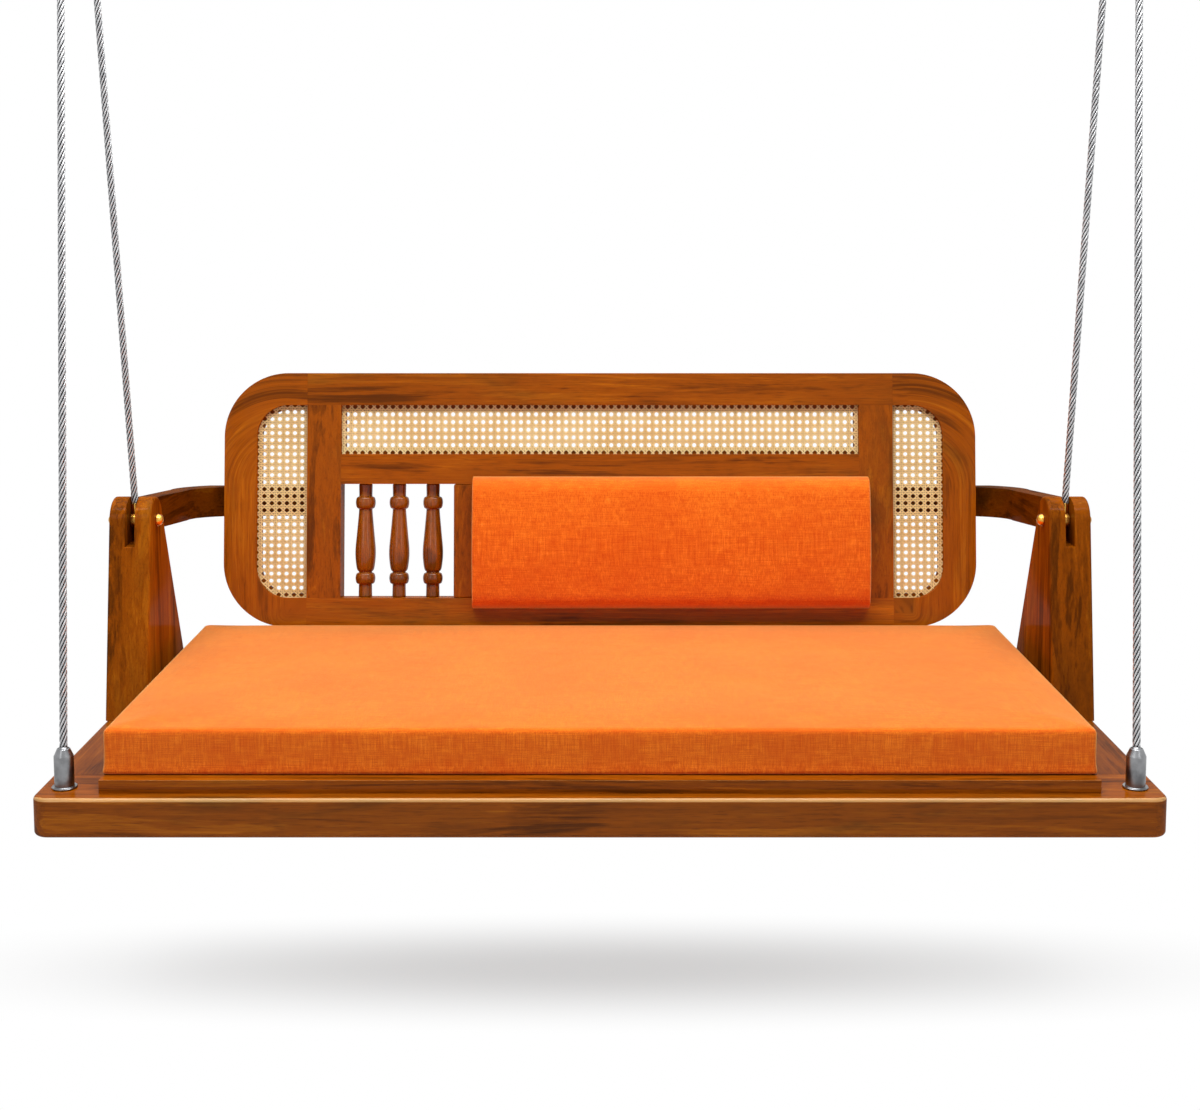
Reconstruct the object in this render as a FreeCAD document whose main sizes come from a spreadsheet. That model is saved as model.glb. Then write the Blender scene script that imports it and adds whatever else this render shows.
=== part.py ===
import FreeCAD, Part
import Sketcher
import math
import os
from types import SimpleNamespace

# A wooden swing seat that hangs from a ceiling on four wire ropes.
# The frame has its origin on the ceiling, midway between the four brackets.
# X points to the right, Y to the back and Z up.
# The seat is drawn from the front edge and the top of its base.
# The right-hand pieces are mirrored to the left.

SIZES = {
    # the hang: ceiling to base top, and where the rope pins stand
    "drop": 1199.0,
    "pin_spread": 153.8,
    "pin_outset": 5.0,
    "pin_drop": 34.0,
    "rear_lean": 9.2,
    # ropes and their swaged ends
    "rope_radius": 5.4,
    "eye_radius": 13.0,
    "eye_thick": 14.0,
    "ferrule_radius": 6.6,
    "ferrule_reach": 62.0,
    "ball_radius": 7.6,
    "thimble_radius": 12.2,
    "thimble_bore": 7.8,
    "thimble_thick": 11.6,
    "thimble_neck": 5.8,
    "thimble_reach": 26.0,
    "thimble_shift_back": 1.6,
    "thimble_shift_down": 0.8,
    # fits
    "turn_gap": 0.3,
    "fit_gap": 0.1,
    "end_gap": 1.0,
    "overrun": 20.0,
    # ceiling brackets, pins and nuts
    "plate_side": 84.0,
    "plate_thick": 6.0,
    "plate_corner": 12.0,
    "plate_hole_circle": 34.0,
    "plate_hole_radius": 3.6,
    "ear_thick": 6.0,
    "ear_width": 30.0,
    "ear_round": 15.0,
    "pin_radius": 5.0,
    "pin_head_radius": 8.5,
    "pin_head_thick": 6.4,
    "pin_tail": 9.0,
    "nut_thick": 7.0,
    # base
    "base_width": 1500.0,
    "base_depth": 740.0,
    "base_thick": 54.0,
    "rail_width": 100.0,
    "base_corner": 22.0,
    "base_round": 6.0,
    "tenon_thick": 18.0,
    "tenon_shoulder": 20.0,
    "tenon_length": 35.0,
    "bearer_width": 70.0,
    "bearer_thick": 38.0,
    "bearer_pitch": 440.0,
    "bearer_tenon_thick": 16.0,
    "bearer_tenon_width": 40.0,
    "bearer_tenon_length": 30.0,
    # seat board and its screws
    "board_side": 22.0,
    "board_setback": 21.5,
    "board_inset": 100.5,
    "board_thick": 18.0,
    "screw_radius": 2.2,
    "screw_head_radius": 4.6,
    "screw_head_thick": 3.0,
    "screw_length": 44.0,
    "screw_inset": 110.0,
    # seat cushion
    "cushion_setback": 39.0,
    "cushion_inset": 101.0,
    "cushion_thick": 60.0,
    "cushion_crown": 5.0,
    "cushion_edge": 9.0,
    "cushion_draw": 5.0,
    # front rope terminals
    "terminal_inset": 33.5,
    "terminal_setback": 45.6,
    "terminal_radius": 13.0,
    "terminal_shoulder": 44.0,
    "terminal_top": 54.3,
    "terminal_neck": 8.1,
    "mouth_radius": 7.1,
    "pivot_height": 50.0,
    "flange_radius": 17.0,
    "flange_thick": 7.0,
    "flange_rim": 1.6,
    "stud_radius": 8.0,
    "stud_tail": 4.0,
    "stud_recess": 24.0,
    "stud_recess_radius": 17.0,
    "washer_radius": 15.0,
    "washer_thick": 2.5,
    "stud_nut_radius": 13.0,
    "stud_nut_thick": 13.0,
    # arm posts
    "post_inset": 390.0,
    "post_foot": 260.0,
    "post_width": 64.0,
    "post_cap_radius": 36.0,
    "post_cap_back": 86.0,
    "post_cap_height": 294.0,
    "post_round": 4.0,
    "slot_width": 14.4,
    "slot_behind": 18.0,
    "slot_floor": 259.0,
    "post_bolt_radius": 5.0,
    "post_bolt_head": 9.0,
    "post_bolt_head_thick": 7.0,
    "post_bolt_reach": 80.0,
    "post_bolt_front": 75.0,
    "post_bolt_spacing": 110.0,
    "post_bolt_recess": 12.0,
    # brass hanger bolts
    "hanger_radius": 5.0,
    "dome_radius": 9.0,
    "dome_height": 8.4,
    "collar_radius": 10.5,
    "collar_thick": 2.2,
    "cap_depth": 10.9,
    # arm rails
    "arm_thick": 32.0,
    "arm_height": 50.0,
    "arm_rise": 273.0,
    "arm_slope": 5.0,
    "arm_start": 24.0,
    "arm_bend_in": 15.0,
    "arm_bend_run": 80.0,
    "arm_turn_in": 1.5,
    "arm_turn_behind": 64.0,
    "arm_bow_share": 0.771,
    "arm_end_cover": 46.0,
    "arm_dowel_radius": 5.0,
    "arm_dowel_length": 44.0,
    "arm_dowel_spread": 22.0,
    "arm_screw_radius": 3.0,
    "arm_screw_head": 6.5,
    "arm_screw_head_thick": 3.5,
    "arm_screw_bite": 24.0,
    "arm_screw_height": 209.0,
    # backrest frame, in its own leaning plane
    "back_inset": 88.0,
    "back_rise": 72.4,
    "back_lean": 8.0,
    "back_side": 114.5,
    "back_height": 428.8,
    "back_thick": 45.0,
    "back_corner": 108.0,
    "end_width": 54.7,
    "top_rail_height": 54.2,
    "bottom_rail_height": 48.7,
    "side_cane_width": 85.1,
    "stile_width": 57.4,
    "top_cane_height": 82.9,
    "middle_rail_height": 50.8,
    "spindle_bay": 191.0,
    "short_stile_width": 52.0,
    "back_tenon_thick": 14.0,
    "back_tenon_shoulder": 14.0,
    "back_tenon_length": 24.0,
    "dowel_radius": 4.0,
    "dowel_length": 24.0,
    "dowel_spread": 18.0,
    # spindles
    "spindle_middle_in": 96.6,
    "spindle_pitch": 57.3,
    "spindle_neck": 11.7,
    "spindle_bead": 16.2,
    "spindle_belly": 17.2,
    "spindle_tenon_radius": 8.0,
    "spindle_tenon_length": 15.0,
    # cane panels and their beads
    "rebate_width": 10.0,
    "rebate_front": 9.0,
    "cane_thick": 2.0,
    "cane_pitch": 12.9,
    "cane_top_pitch": 15.0,
    "cane_hole": 7.4,
    "bead_cover": 7.0,
    "bead_thick": 12.0,
    # back pad
    "pad_lap_left": 31.6,
    "pad_lap_right": 15.7,
    "pad_foot": 30.4,
    "pad_lap_top": 14.0,
    "pad_thick": 30.0,
    "pad_crown": 12.0,
    "pad_edge": 12.0,
    "pad_draw": 5.0,
    "pad_board_thick": 8.0,
    "pad_board_inset": 22.0,
    # feet below the backrest
    "foot_width": 70.0,
    "foot_inset": 2.0,
    "foot_pitch": 350.0,
    "foot_bolt_radius": 4.0,
    "foot_bolt_head": 8.0,
    "foot_bolt_head_thick": 6.0,
    "foot_bolt_recess": 10.0,
    "foot_bolt_bite": 24.0,
}

# Spindle outline: (height as a share of the spindle, radius name, share of that radius)
SPINDLE_SHARES = (
    (0.00, "spindle_neck", 1.00),
    (0.115, "spindle_neck", 0.96),
    (0.125, "spindle_bead", 0.92),
    (0.168, "spindle_bead", 1.00),
    (0.208, "spindle_bead", 0.92),
    (0.222, "spindle_neck", 0.94),
    (0.238, "spindle_belly", 0.86),
    (0.310, "spindle_belly", 0.97),
    (0.397, "spindle_belly", 1.00),
    (0.500, "spindle_belly", 0.93),
    (0.620, "spindle_belly", 0.80),
    (0.780, "spindle_neck", 0.98),
    (0.792, "spindle_bead", 0.92),
    (0.838, "spindle_bead", 1.00),
    (0.880, "spindle_bead", 0.92),
    (0.892, "spindle_neck", 0.96),
    (1.00, "spindle_neck", 1.00),
)
# Stations along a cushion and how far its ends are drawn in there,
# as shares of half its length and of its draw
CUSHION_STATION_SHARES = (
    (-1.0, 1.0, 0.50),
    (-0.992, 0.55, 0.86),
    (-0.97, 0.35, 0.97),
    (-0.6, 0.1, 0.99),
    (0.0, 0.0, 1.0),
    (0.6, 0.1, 0.99),
    (0.97, 0.35, 0.97),
    (0.992, 0.55, 0.86),
    (1.0, 1.0, 0.50),
)

V = FreeCAD.Vector
doc = FreeCAD.newDocument("swing")
sheet = doc.addObject("Spreadsheet::Sheet", "Sizes")
for row, (name, number) in enumerate(SIZES.items(), 1):
    sheet.set(f"A{row}", name)
    sheet.set(f"B{row}", str(number))
    sheet.setAlias(f"B{row}", name)
doc.recompute()


class Size:
    """A named size, or a sum of named sizes: its value, and the expression that binds it to the sheet."""

    def __init__(self, value, text):
        self.value = float(value)
        self.text = text

    def __add__(self, other):
        other = as_size(other)
        return Size(self.value + other.value, f"({self.text} + {other.text})")

    __radd__ = __add__

    def __sub__(self, other):
        other = as_size(other)
        return Size(self.value - other.value, f"({self.text} - {other.text})")

    def __rsub__(self, other):
        return as_size(other) - self

    def __neg__(self):
        return Size(-self.value, f"(0 - {self.text})")

    def __mul__(self, other):
        other = as_size(other)
        return Size(self.value * other.value, f"({self.text} * {other.text})")

    __rmul__ = __mul__

    def __truediv__(self, other):
        other = as_size(other)
        return Size(self.value / other.value, f"({self.text} / {other.text})")


def as_size(thing):
    return thing if isinstance(thing, Size) else Size(thing, repr(thing))


def root_of(size):
    return Size(math.sqrt(size.value), f"sqrt({size.text})")


def cos_of(size):
    return Size(math.cos(math.radians(size.value)), f"cos({size.text})")


def sin_of(size):
    return Size(math.sin(math.radians(size.value)), f"sin({size.text})")


s = SimpleNamespace(**{name: Size(sheet.get(name), f"Sizes.{name}") for name in SIZES})
NODES = {}


def node(label, thing):
    """Names a finished sub-part."""
    thing.Label = label
    NODES[label] = thing
    return thing


def put(thing, at=(0, 0, 0), axis=None, angle=0):
    """Gives a thing its place, bound to the sheet."""
    if axis:
        turn = as_size(angle)
        thing.Placement = FreeCAD.Placement(V(), FreeCAD.Rotation(V(*axis), turn.value))
        if isinstance(angle, Size):
            thing.setExpression("Placement.Rotation.Angle", turn.text)
    for side, where in zip("xyz", at):
        if isinstance(where, Size):
            thing.setExpression(f"Placement.Base.{side}", where.text)
    return thing


ALONG = {"x": ((0, 1, 0), 90), "y": ((-1, 0, 0), 90), "z": (None, 0)}


def box(name, sides, at=(0, 0, 0)):
    made = doc.addObject("Part::Box", name)
    for prop, side in zip(("Length", "Width", "Height"), sides):
        made.setExpression(prop, side.text)
    return put(made, at)


def rod(name, radius, length, at, along="z"):
    made = doc.addObject("Part::Cylinder", name)
    made.setExpression("Radius", radius.text)
    made.setExpression("Height", length.text)
    axis, angle = ALONG[along]
    return put(made, at, axis, angle)


def cut(name, base, *tools):
    for tool in tools:
        made = doc.addObject("Part::Cut", name)
        made.Base = base
        made.Tool = tool
        base = made
    return base


def join(name, *things):
    made = doc.addObject("Part::MultiFuse", name)
    made.Shapes = list(things)
    return made


def group(name, *things):
    made = doc.addObject("Part::Compound", name)
    made.Links = list(things)
    return made


def mirror(name, thing):
    """The left-hand twin of a right-hand piece."""
    made = doc.addObject("Part::Mirroring", name)
    made.Source = thing
    made.Base = V(0, 0, 0)
    made.Normal = V(1, 0, 0)
    return made


def arc_between(start, end, radius, sense):
    """A minor arc from start to end; sense is 1 for a left-hand turn and -1 for a right-hand one."""
    chord = end - start
    half = chord.Length / 2
    left = V(-chord.y, chord.x, 0).normalize()
    centre = start + chord / 2 + left * (sense * math.sqrt(max(radius * radius - half * half, 0)))
    first, last = (start, end) if sense > 0 else (end, start)
    begin = math.atan2(first.y - centre.y, first.x - centre.x)
    finish = math.atan2(last.y - centre.y, last.x - centre.x)
    return Part.ArcOfCircle(Part.Circle(centre, V(0, 0, 1), radius), begin, finish)


def draw(body, name, plane, steps):
    """A closed sketch on one of the body's own planes.
    Each step is (across, up), or (across, up, radius, sense) where an arc leads to that point."""
    sketch = body.newObject("Sketcher::SketchObject", name)
    support = [f for f in body.Origin.OriginFeatures if f.Role == plane][0]
    sketch.AttachmentSupport = [(support, "")]
    sketch.MapMode = "FlatFace"
    spots = [(as_size(step[0]), as_size(step[1])) for step in steps]
    ends = []
    for i, step in enumerate(steps):
        before = V(spots[i - 1][0].value, spots[i - 1][1].value, 0)
        here = V(spots[i][0].value, spots[i][1].value, 0)
        if len(step) == 4:
            line = sketch.addGeometry(arc_between(before, here, step[2].value, step[3]), False)
            ends.append((line, 1, 2) if step[3] > 0 else (line, 2, 1))
            rule = sketch.addConstraint(Sketcher.Constraint("Radius", line, step[2].value))
            sketch.setExpression(f"Constraints[{rule}]", step[2].text)
        else:
            line = sketch.addGeometry(Part.LineSegment(before, here), False)
            ends.append((line, 1, 2))
    for i, (line, _, tail) in enumerate(ends):
        following, head, _ = ends[(i + 1) % len(ends)]
        sketch.addConstraint(Sketcher.Constraint("Coincident", line, tail, following, head))
        for kind, spot, axis in (("DistanceX", spots[i][0], -2), ("DistanceY", spots[i][1], -1)):
            if spot.text == "0":
                sketch.addConstraint(Sketcher.Constraint("PointOnObject", line, tail, axis))
            else:
                rule = sketch.addConstraint(Sketcher.Constraint(kind, -1, 1, line, tail, spot.value))
                sketch.setExpression(f"Constraints[{rule}]", spot.text)
    return sketch


def prism(name, plane, steps, depth, at=(0, 0, 0), axis=None, angle=0, round_radius=None, rounded=None):
    """A padded outline. On the XZ plane the pad runs to +Y; rounded picks the edges that are eased."""
    body = doc.addObject("PartDesign::Body", name)
    pad = body.newObject("PartDesign::Pad", f"{name}_pad")
    body.removeObject(pad)
    doc.removeObject(pad.Name)
    sketch = draw(body, f"{name}_outline", plane, steps)
    pad = body.newObject("PartDesign::Pad", f"{name}_pad")
    pad.Profile = sketch
    pad.setExpression("Length", depth.text)
    pad.Reversed = plane == "XZ_Plane"
    if rounded:
        doc.recompute()
        picked = [f"Edge{i}" for i, edge in enumerate(pad.Shape.Edges, 1) if rounded(edge)]
        fillet = body.newObject("PartDesign::Fillet", f"{name}_round")
        fillet.Base = (pad, picked)
        fillet.setExpression("Radius", round_radius.text)
    return put(body, at, axis, angle)


def turned(name, steps, at=(0, 0, 0), axis=None, angle=0):
    """An outline of (radius, height) steps turned about the upright axis."""
    body = doc.addObject("PartDesign::Body", name)
    sketch = draw(body, f"{name}_outline", "XZ_Plane", steps)
    lathe = body.newObject("PartDesign::Revolution", f"{name}_turn")
    lathe.Profile = sketch
    lathe.ReferenceAxis = (sketch, ["V_Axis"])
    lathe.Angle = 360
    return put(body, at, axis, angle)


def solid(name, shape):
    made = doc.addObject("Part::Feature", name)
    made.Shape = shape
    return made


def near(a, b):
    return abs(a - b) < s.fit_gap.value / 2


# Where the seat hangs: y of the base's front and rear edges and z of its top
half = s.base_width / 2
post_setback = s.base_depth - s.post_inset
front = s.pin_spread / 2 + s.rear_lean - post_setback - s.post_cap_back
rear = front + s.base_depth
deck = -s.drop
pin_z = -s.pin_drop
pin_half = half + s.pin_outset
terminal_half = half - s.terminal_inset

# The seat board and cushion fill the room between the posts
board_width = s.base_width - s.post_width * 2 - s.board_side * 2
board_depth = s.base_depth - s.board_setback - s.board_inset
cushion_depth = s.base_depth - s.cushion_setback - s.cushion_inset

# The backrest frame: half its width, its uprights counted in from the ends,
# and its rails counted down from the top
back_width = s.base_width - s.back_side * 2
back_half = back_width / 2
end_in = back_half - s.end_width
stile_out = end_in - s.side_cane_width
stile_half = stile_out - s.stile_width
top_foot = s.back_height - s.top_rail_height
middle_high = top_foot - s.top_cane_height
middle_low = middle_high - s.middle_rail_height
short_left = stile_half - s.spindle_bay
pad_left = short_left - s.pad_lap_left
pad_width = pad_left + stile_half + s.pad_lap_right
pad_height = middle_low + s.pad_lap_top - s.pad_foot

# Base rails: the front one runs the whole width with rounded corners,
# and the rear one is the same piece turned round
rail_steps = (
    (0, s.base_corner),
    (s.base_corner, 0, s.base_corner, 1),
    (s.base_width - s.base_corner, 0),
    (s.base_width, s.base_corner, s.base_corner, 1),
    (s.base_width, s.rail_width),
    (0, s.rail_width),
)


def outer_edge(edge):
    low, high = edge.BoundBox.ZMin, edge.BoundBox.ZMax
    return near(low, high) and not (near(edge.BoundBox.YMin, s.rail_width.value))


def base_rail(name, at, axis=None, angle=0):
    return prism(name, "XY_Plane", rail_steps, s.base_thick, at, axis, angle, s.base_round, outer_edge)


front_rail = base_rail("front_rail_stock", (-half, front, deck - s.base_thick))
rear_rail = base_rail("rear_rail_stock", (half, front + s.base_depth, deck - s.base_thick), (0, 0, 1), 180)

# Side rails, tenoned into the front and rear rails
side_length = s.base_depth - s.rail_width * 2
side_steps = ((0, 0), (s.rail_width, 0), (s.rail_width, side_length), (0, side_length))


def long_outer_edge(edge):
    box_of = edge.BoundBox
    return near(box_of.XMin, s.rail_width.value) and near(box_of.ZMin, box_of.ZMax)


side_stock = prism(
    "side_rail_stock",
    "XY_Plane",
    side_steps,
    s.base_thick,
    (half - s.rail_width, front + s.rail_width, deck - s.base_thick),
    round_radius=s.base_round,
    rounded=long_outer_edge,
)


def tenon(name, gap, thick, width, length, x, y, z):
    """A tenon through both ends of a piece that lies front to back, or its mortises when gap is not zero."""
    sides = (width + gap * 2, length, thick + gap * 2)
    return box(name, sides, (x - width / 2 - gap, y, z - thick / 2 - gap))


def end_tenons(name, gap, reach_gap, thick, width, length, x, z):
    """Both tenons of a front-to-back piece as one bar from end to end."""
    start = front + s.rail_width - length - reach_gap
    run = side_length + (length + reach_gap) * 2
    return tenon(name, gap, thick, width, run, x, start, z)


side_x = half - s.rail_width / 2
side_z = deck - s.base_thick / 2
side_tenon_width = s.rail_width - s.tenon_shoulder * 2
side_bar = end_tenons(
    "side_tenons", 0 * s.fit_gap, 0 * s.end_gap, s.tenon_thick, side_tenon_width, s.tenon_length, side_x, side_z
)
side_right = join("side_rail_tenoned", side_stock, side_bar)
side_slot = end_tenons(
    "side_mortises", s.fit_gap, s.end_gap, s.tenon_thick, side_tenon_width, s.tenon_length, side_x, side_z
)
side_slot_left = mirror("side_mortises_left", side_slot)

# Bearers under the seat board, front to back
bearer_z = deck - s.bearer_thick / 2
bearers = []
bearer_slots = []
for place, share in (("left", -1), ("centre", 0), ("right", 1)):
    x = s.bearer_pitch * share
    beam = box(
        f"bearer_{place}",
        (s.bearer_width, side_length, s.bearer_thick),
        (x - s.bearer_width / 2, front + s.rail_width, deck - s.bearer_thick),
    )
    shape = (s.bearer_tenon_thick, s.bearer_tenon_width, s.bearer_tenon_length, x, bearer_z)
    bar = end_tenons(f"bearer_{place}_tenons", 0 * s.fit_gap, 0 * s.end_gap, *shape)
    bearers.append(join(f"bearer_{place}_whole", beam, bar))
    bearer_slots.append(end_tenons(f"bearer_{place}_mortises", s.fit_gap, s.end_gap, *shape))

# Seat board and the screws that hold it to the bearers
board = box(
    "seat_board_stock",
    (board_width, board_depth, s.board_thick),
    (-board_width / 2, front + s.board_setback, deck),
)


def screw(name, gap, at, axis=None, angle=0):
    """A countersunk screw, head up, or its hole when gap is not zero."""
    return turned(
        name,
        (
            (0, -s.screw_length - gap),
            (s.screw_radius + gap, -s.screw_length - gap),
            (s.screw_radius + gap, -s.screw_head_thick - gap),
            (s.screw_head_radius + gap, 0),
            (0, 0),
        ),
        at,
        axis,
        angle,
    )


board_screws = []
board_holes = []
for share in (-1, 0, 1):
    for end, y in (
        ("front", front + s.rail_width + s.screw_inset),
        ("rear", front + s.base_depth - s.rail_width - s.screw_inset),
    ):
        at = (s.bearer_pitch * share, y, deck + s.board_thick)
        board_screws.append(screw(f"board_screw_{share + 1}_{end}", 0 * s.fit_gap, at))
        board_holes.append(screw(f"board_hole_{share + 1}_{end}", s.fit_gap, at))
node("seat_board", cut("seat_board_drilled", board, *board_holes))
node("board_screws", group("board_screw_set", *board_screws))
drilled = []
for i, beam in enumerate(bearers):
    drilled.append(cut(f"bearer_{i}_drilled", beam, board_holes[2 * i], board_holes[2 * i + 1]))
node("base_bearers", group("bearer_set", *drilled))


# Cushions: ruled lofts through rounded sections, with a crown on top and drawn-in ends and sides
def cushion_section(x, depth, thick, crown, edge, draw, side, lift):
    """One upright section of a cushion at x: flat below, eased corners, sides that bow out, an arched top."""
    reach = depth / 2 - draw - side
    top = thick * lift
    ease = min(edge, top / 3, reach / 3)
    bow = crown * lift
    slope = math.sqrt(0.5)
    a = V(x, -reach + ease, 0)
    b = V(x, reach - ease, 0)
    lower_right = (b, V(x, reach - ease + ease * slope, ease - ease * slope), V(x, reach, ease))
    right = (lower_right[2], V(x, reach + side, top / 2), V(x, reach, top - ease))
    shoulder = V(x, reach - ease + ease * slope, top - ease + ease * slope)
    upper_right = (right[2], shoulder, V(x, reach - ease, top))
    over = (upper_right[2], V(x, 0, top + bow), V(x, -reach + ease, top))
    flip = [tuple(V(p.x, -p.y, p.z) for p in reversed(arc)) for arc in (upper_right, right, lower_right)]
    edges = [Part.LineSegment(a, b).toShape()]
    for arc in (lower_right, right, upper_right, over, *flip):
        edges.append(Part.Arc(*arc).toShape())
    return Part.Wire(edges)


def cushion(length, depth, thick, crown, edge, draw):
    wires = []
    for along, drawn, lift in CUSHION_STATION_SHARES:
        x = along * length / 2
        wires.append(cushion_section(x, depth, thick, crown, edge, draw * drawn, draw / 2, lift))
    return Part.makeLoft(wires, True, True)


seat_pad = solid(
    "seat_cushion_form",
    cushion(
        board_width.value,
        cushion_depth.value,
        s.cushion_thick.value,
        s.cushion_crown.value,
        s.cushion_edge.value,
        s.cushion_draw.value,
    ),
)
put(seat_pad, (0 * half, front + s.cushion_setback + cushion_depth / 2, deck + s.board_thick))
node("seat_cushion", seat_pad)

# Front rope terminals: a stud through the base, a flange on top, a washer and nut in a recess below
term_y = front + s.terminal_setback
socket_radius = s.ball_radius + s.turn_gap
socket_lip = s.pivot_height + root_of(socket_radius * socket_radius - s.mouth_radius * s.mouth_radius)
terminal = turned(
    "terminal_right",
    (
        (0, s.stud_tail - s.base_thick),
        (s.stud_radius, s.stud_tail - s.base_thick),
        (s.stud_radius, s.flange_thick),
        (s.terminal_radius, s.flange_thick),
        (s.terminal_radius, s.terminal_shoulder),
        (s.terminal_neck, s.terminal_top),
        (s.mouth_radius, s.terminal_top),
        (s.mouth_radius, socket_lip),
        (0, s.pivot_height - socket_radius, socket_radius, -1),
    ),
    (terminal_half, term_y, deck),
)
node("terminal_right", terminal)
node("terminal_left", mirror("terminal_left_twin", terminal))
stud_hole = s.stud_radius + s.fit_gap


def washer(name, inner, outer, thick, at):
    return turned(name, ((inner, 0), (outer, 0), (outer, thick), (inner, thick)), at)


flange = turned(
    "flange_right",
    (
        (stud_hole, 0),
        (s.flange_radius, 0),
        (s.flange_radius, s.flange_rim),
        (s.terminal_radius, s.flange_thick, s.flange_thick, -1),
        (stud_hole, s.flange_thick),
    ),
    (terminal_half, term_y, deck),
)
node("terminal_flanges", group("flange_set", flange, mirror("flange_left", flange)))
recess_top = deck - s.base_thick + s.stud_recess
stud_washer = washer(
    "stud_washer_right",
    stud_hole,
    s.washer_radius,
    s.washer_thick,
    (terminal_half, term_y, recess_top - s.washer_thick),
)
node("terminal_washers", group("stud_washer_set", stud_washer, mirror("stud_washer_left", stud_washer)))


def hexagon(name, radius, thick, bore, at, axis=None, angle=0):
    """A hexagon nut across whose corners the radius is measured."""
    tall = root_of(as_size(3)) / 2
    corners = ((1, 0), (0.5, tall), (-0.5, tall), (-1, 0), (-0.5, -tall), (0.5, -tall))
    steps = [(radius * across, radius * up if up else 0) for across, up in corners]
    blank = prism(f"{name}_blank", "XY_Plane", steps, thick)
    hole = rod(f"{name}_bore", bore, thick + s.overrun * 2, (0 * bore, 0 * bore, -s.overrun))
    return put(cut(name, blank, hole), at, axis, angle)


stud_nut = hexagon(
    "stud_nut_right",
    s.stud_nut_radius,
    s.stud_nut_thick,
    stud_hole,
    (terminal_half, term_y, recess_top - s.washer_thick - s.stud_nut_thick),
)
node("terminal_nuts", group("stud_nut_set", stud_nut, mirror("stud_nut_left", stud_nut)))
stud_bore = rod(
    "stud_bore",
    stud_hole,
    s.base_thick + s.overrun * 2,
    (terminal_half, term_y, deck - s.base_thick - s.overrun),
)
stud_well = rod(
    "stud_well",
    s.stud_recess_radius,
    s.stud_recess + s.overrun,
    (terminal_half, term_y, deck - s.base_thick - s.overrun),
)
stud_cut = join("stud_cut", stud_bore, stud_well)

# Feet that carry the backrest on the rear rail, and the bolts up through them
back_y = rear - s.back_inset
back_z = deck + s.back_rise
lean_cos = cos_of(s.back_lean)
lean_sin = sin_of(s.back_lean)


def lean(thing):
    """Stands a piece of the backrest, drawn upright, in the leaning plane."""
    return put(thing, (0 * back_y, back_y, back_z), (-1, 0, 0), s.back_lean)


def leaning(x, depth, up):
    """A point of the leaning plane: across, behind its front face and up along it."""
    return (x, back_y + depth * lean_cos + up * lean_sin, back_z - depth * lean_sin + up * lean_cos)


foot_depth = (s.back_thick - s.foot_inset * 2) * lean_cos
above_feet = box(
    "above_feet",
    (s.base_width, s.back_thick * 3, s.back_height),
    (-half, -s.back_thick, 0 * half),
)
above_feet = lean(above_feet)
# the box keeps its own offsets along the leaning plane
above_feet.setExpression("Placement.Base.x", (-half).text)
above_feet.setExpression("Placement.Base.y", (back_y - s.back_thick * lean_cos).text)
above_feet.setExpression("Placement.Base.z", (back_z + s.back_thick * lean_sin).text)
feet = []
foot_bolts = []
foot_holes = []
bolt_y = back_y + s.back_thick * lean_cos / 2
bolt_foot = deck - s.base_thick + s.foot_bolt_recess
bolt_top = deck + s.back_rise + s.foot_bolt_bite


def long_bolt(name, gap, radius, head, head_thick, recess, at, length):
    """A headed bolt standing on its head, or its counterbored hole when gap is not zero."""
    low = -head_thick if gap.value == 0 else -recess - s.overrun
    return turned(
        name,
        (
            (0, low),
            (head + gap, low),
            (head + gap, 0),
            (radius + gap, 0),
            (radius + gap, length + gap),
            (0, length + gap),
        ),
        at,
    )


for i, share in enumerate((-1, 0, 1)):
    x = s.foot_pitch * share
    block = box(
        f"foot_{i}_stock",
        (s.foot_width, foot_depth, s.back_rise + s.overrun),
        (x - s.foot_width / 2, back_y + s.foot_inset * lean_cos, deck),
    )
    shape = (s.foot_bolt_radius, s.foot_bolt_head, s.foot_bolt_head_thick, s.foot_bolt_recess)
    at = (x, bolt_y, bolt_foot)
    hole = long_bolt(f"foot_{i}_hole", s.fit_gap, *shape, at, bolt_top - bolt_foot)
    foot_bolts.append(long_bolt(f"foot_{i}_bolt", 0 * s.fit_gap, *shape, at, bolt_top - bolt_foot))
    foot_holes.append(hole)
    feet.append(cut(f"foot_{i}", block, above_feet, hole))
node("back_feet", group("foot_set", *feet))
node("foot_bolts", group("foot_bolt_set", *foot_bolts))

stud_cuts = (stud_cut, mirror("stud_cut_left", stud_cut))
node("base_front_rail", cut("front_rail", front_rail, side_slot, side_slot_left, *bearer_slots, *stud_cuts))
node("base_rear_rail", cut("rear_rail", rear_rail, side_slot, side_slot_left, *bearer_slots, *foot_holes))

# Arm posts: a tapered board whose sides run tangent into a round cap
cap = (s.post_cap_back, s.post_cap_height)


def tangent_point(foot_across, sense):
    """Where a line from a foot corner touches the cap."""
    over, up = foot_across - cap[0], 0 * s.post_cap_height - cap[1]
    square = over * over + up * up
    radius = s.post_cap_radius
    along = radius * radius / square
    aside = radius * root_of(square - radius * radius) / square * sense
    return cap[0] + over * along - up * aside, cap[1] + up * along + over * aside


rear_touch = tangent_point(s.post_foot, 1)
front_touch = tangent_point(0 * s.post_foot, -1)
post_steps = (
    (0, 0),
    (s.post_foot, 0),
    rear_touch,
    (*front_touch, s.post_cap_radius, 1),
)


def post_edge(edge):
    box_of = edge.BoundBox
    return near(box_of.XMin, box_of.XMax) and not near(box_of.ZMax, 0)


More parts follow.
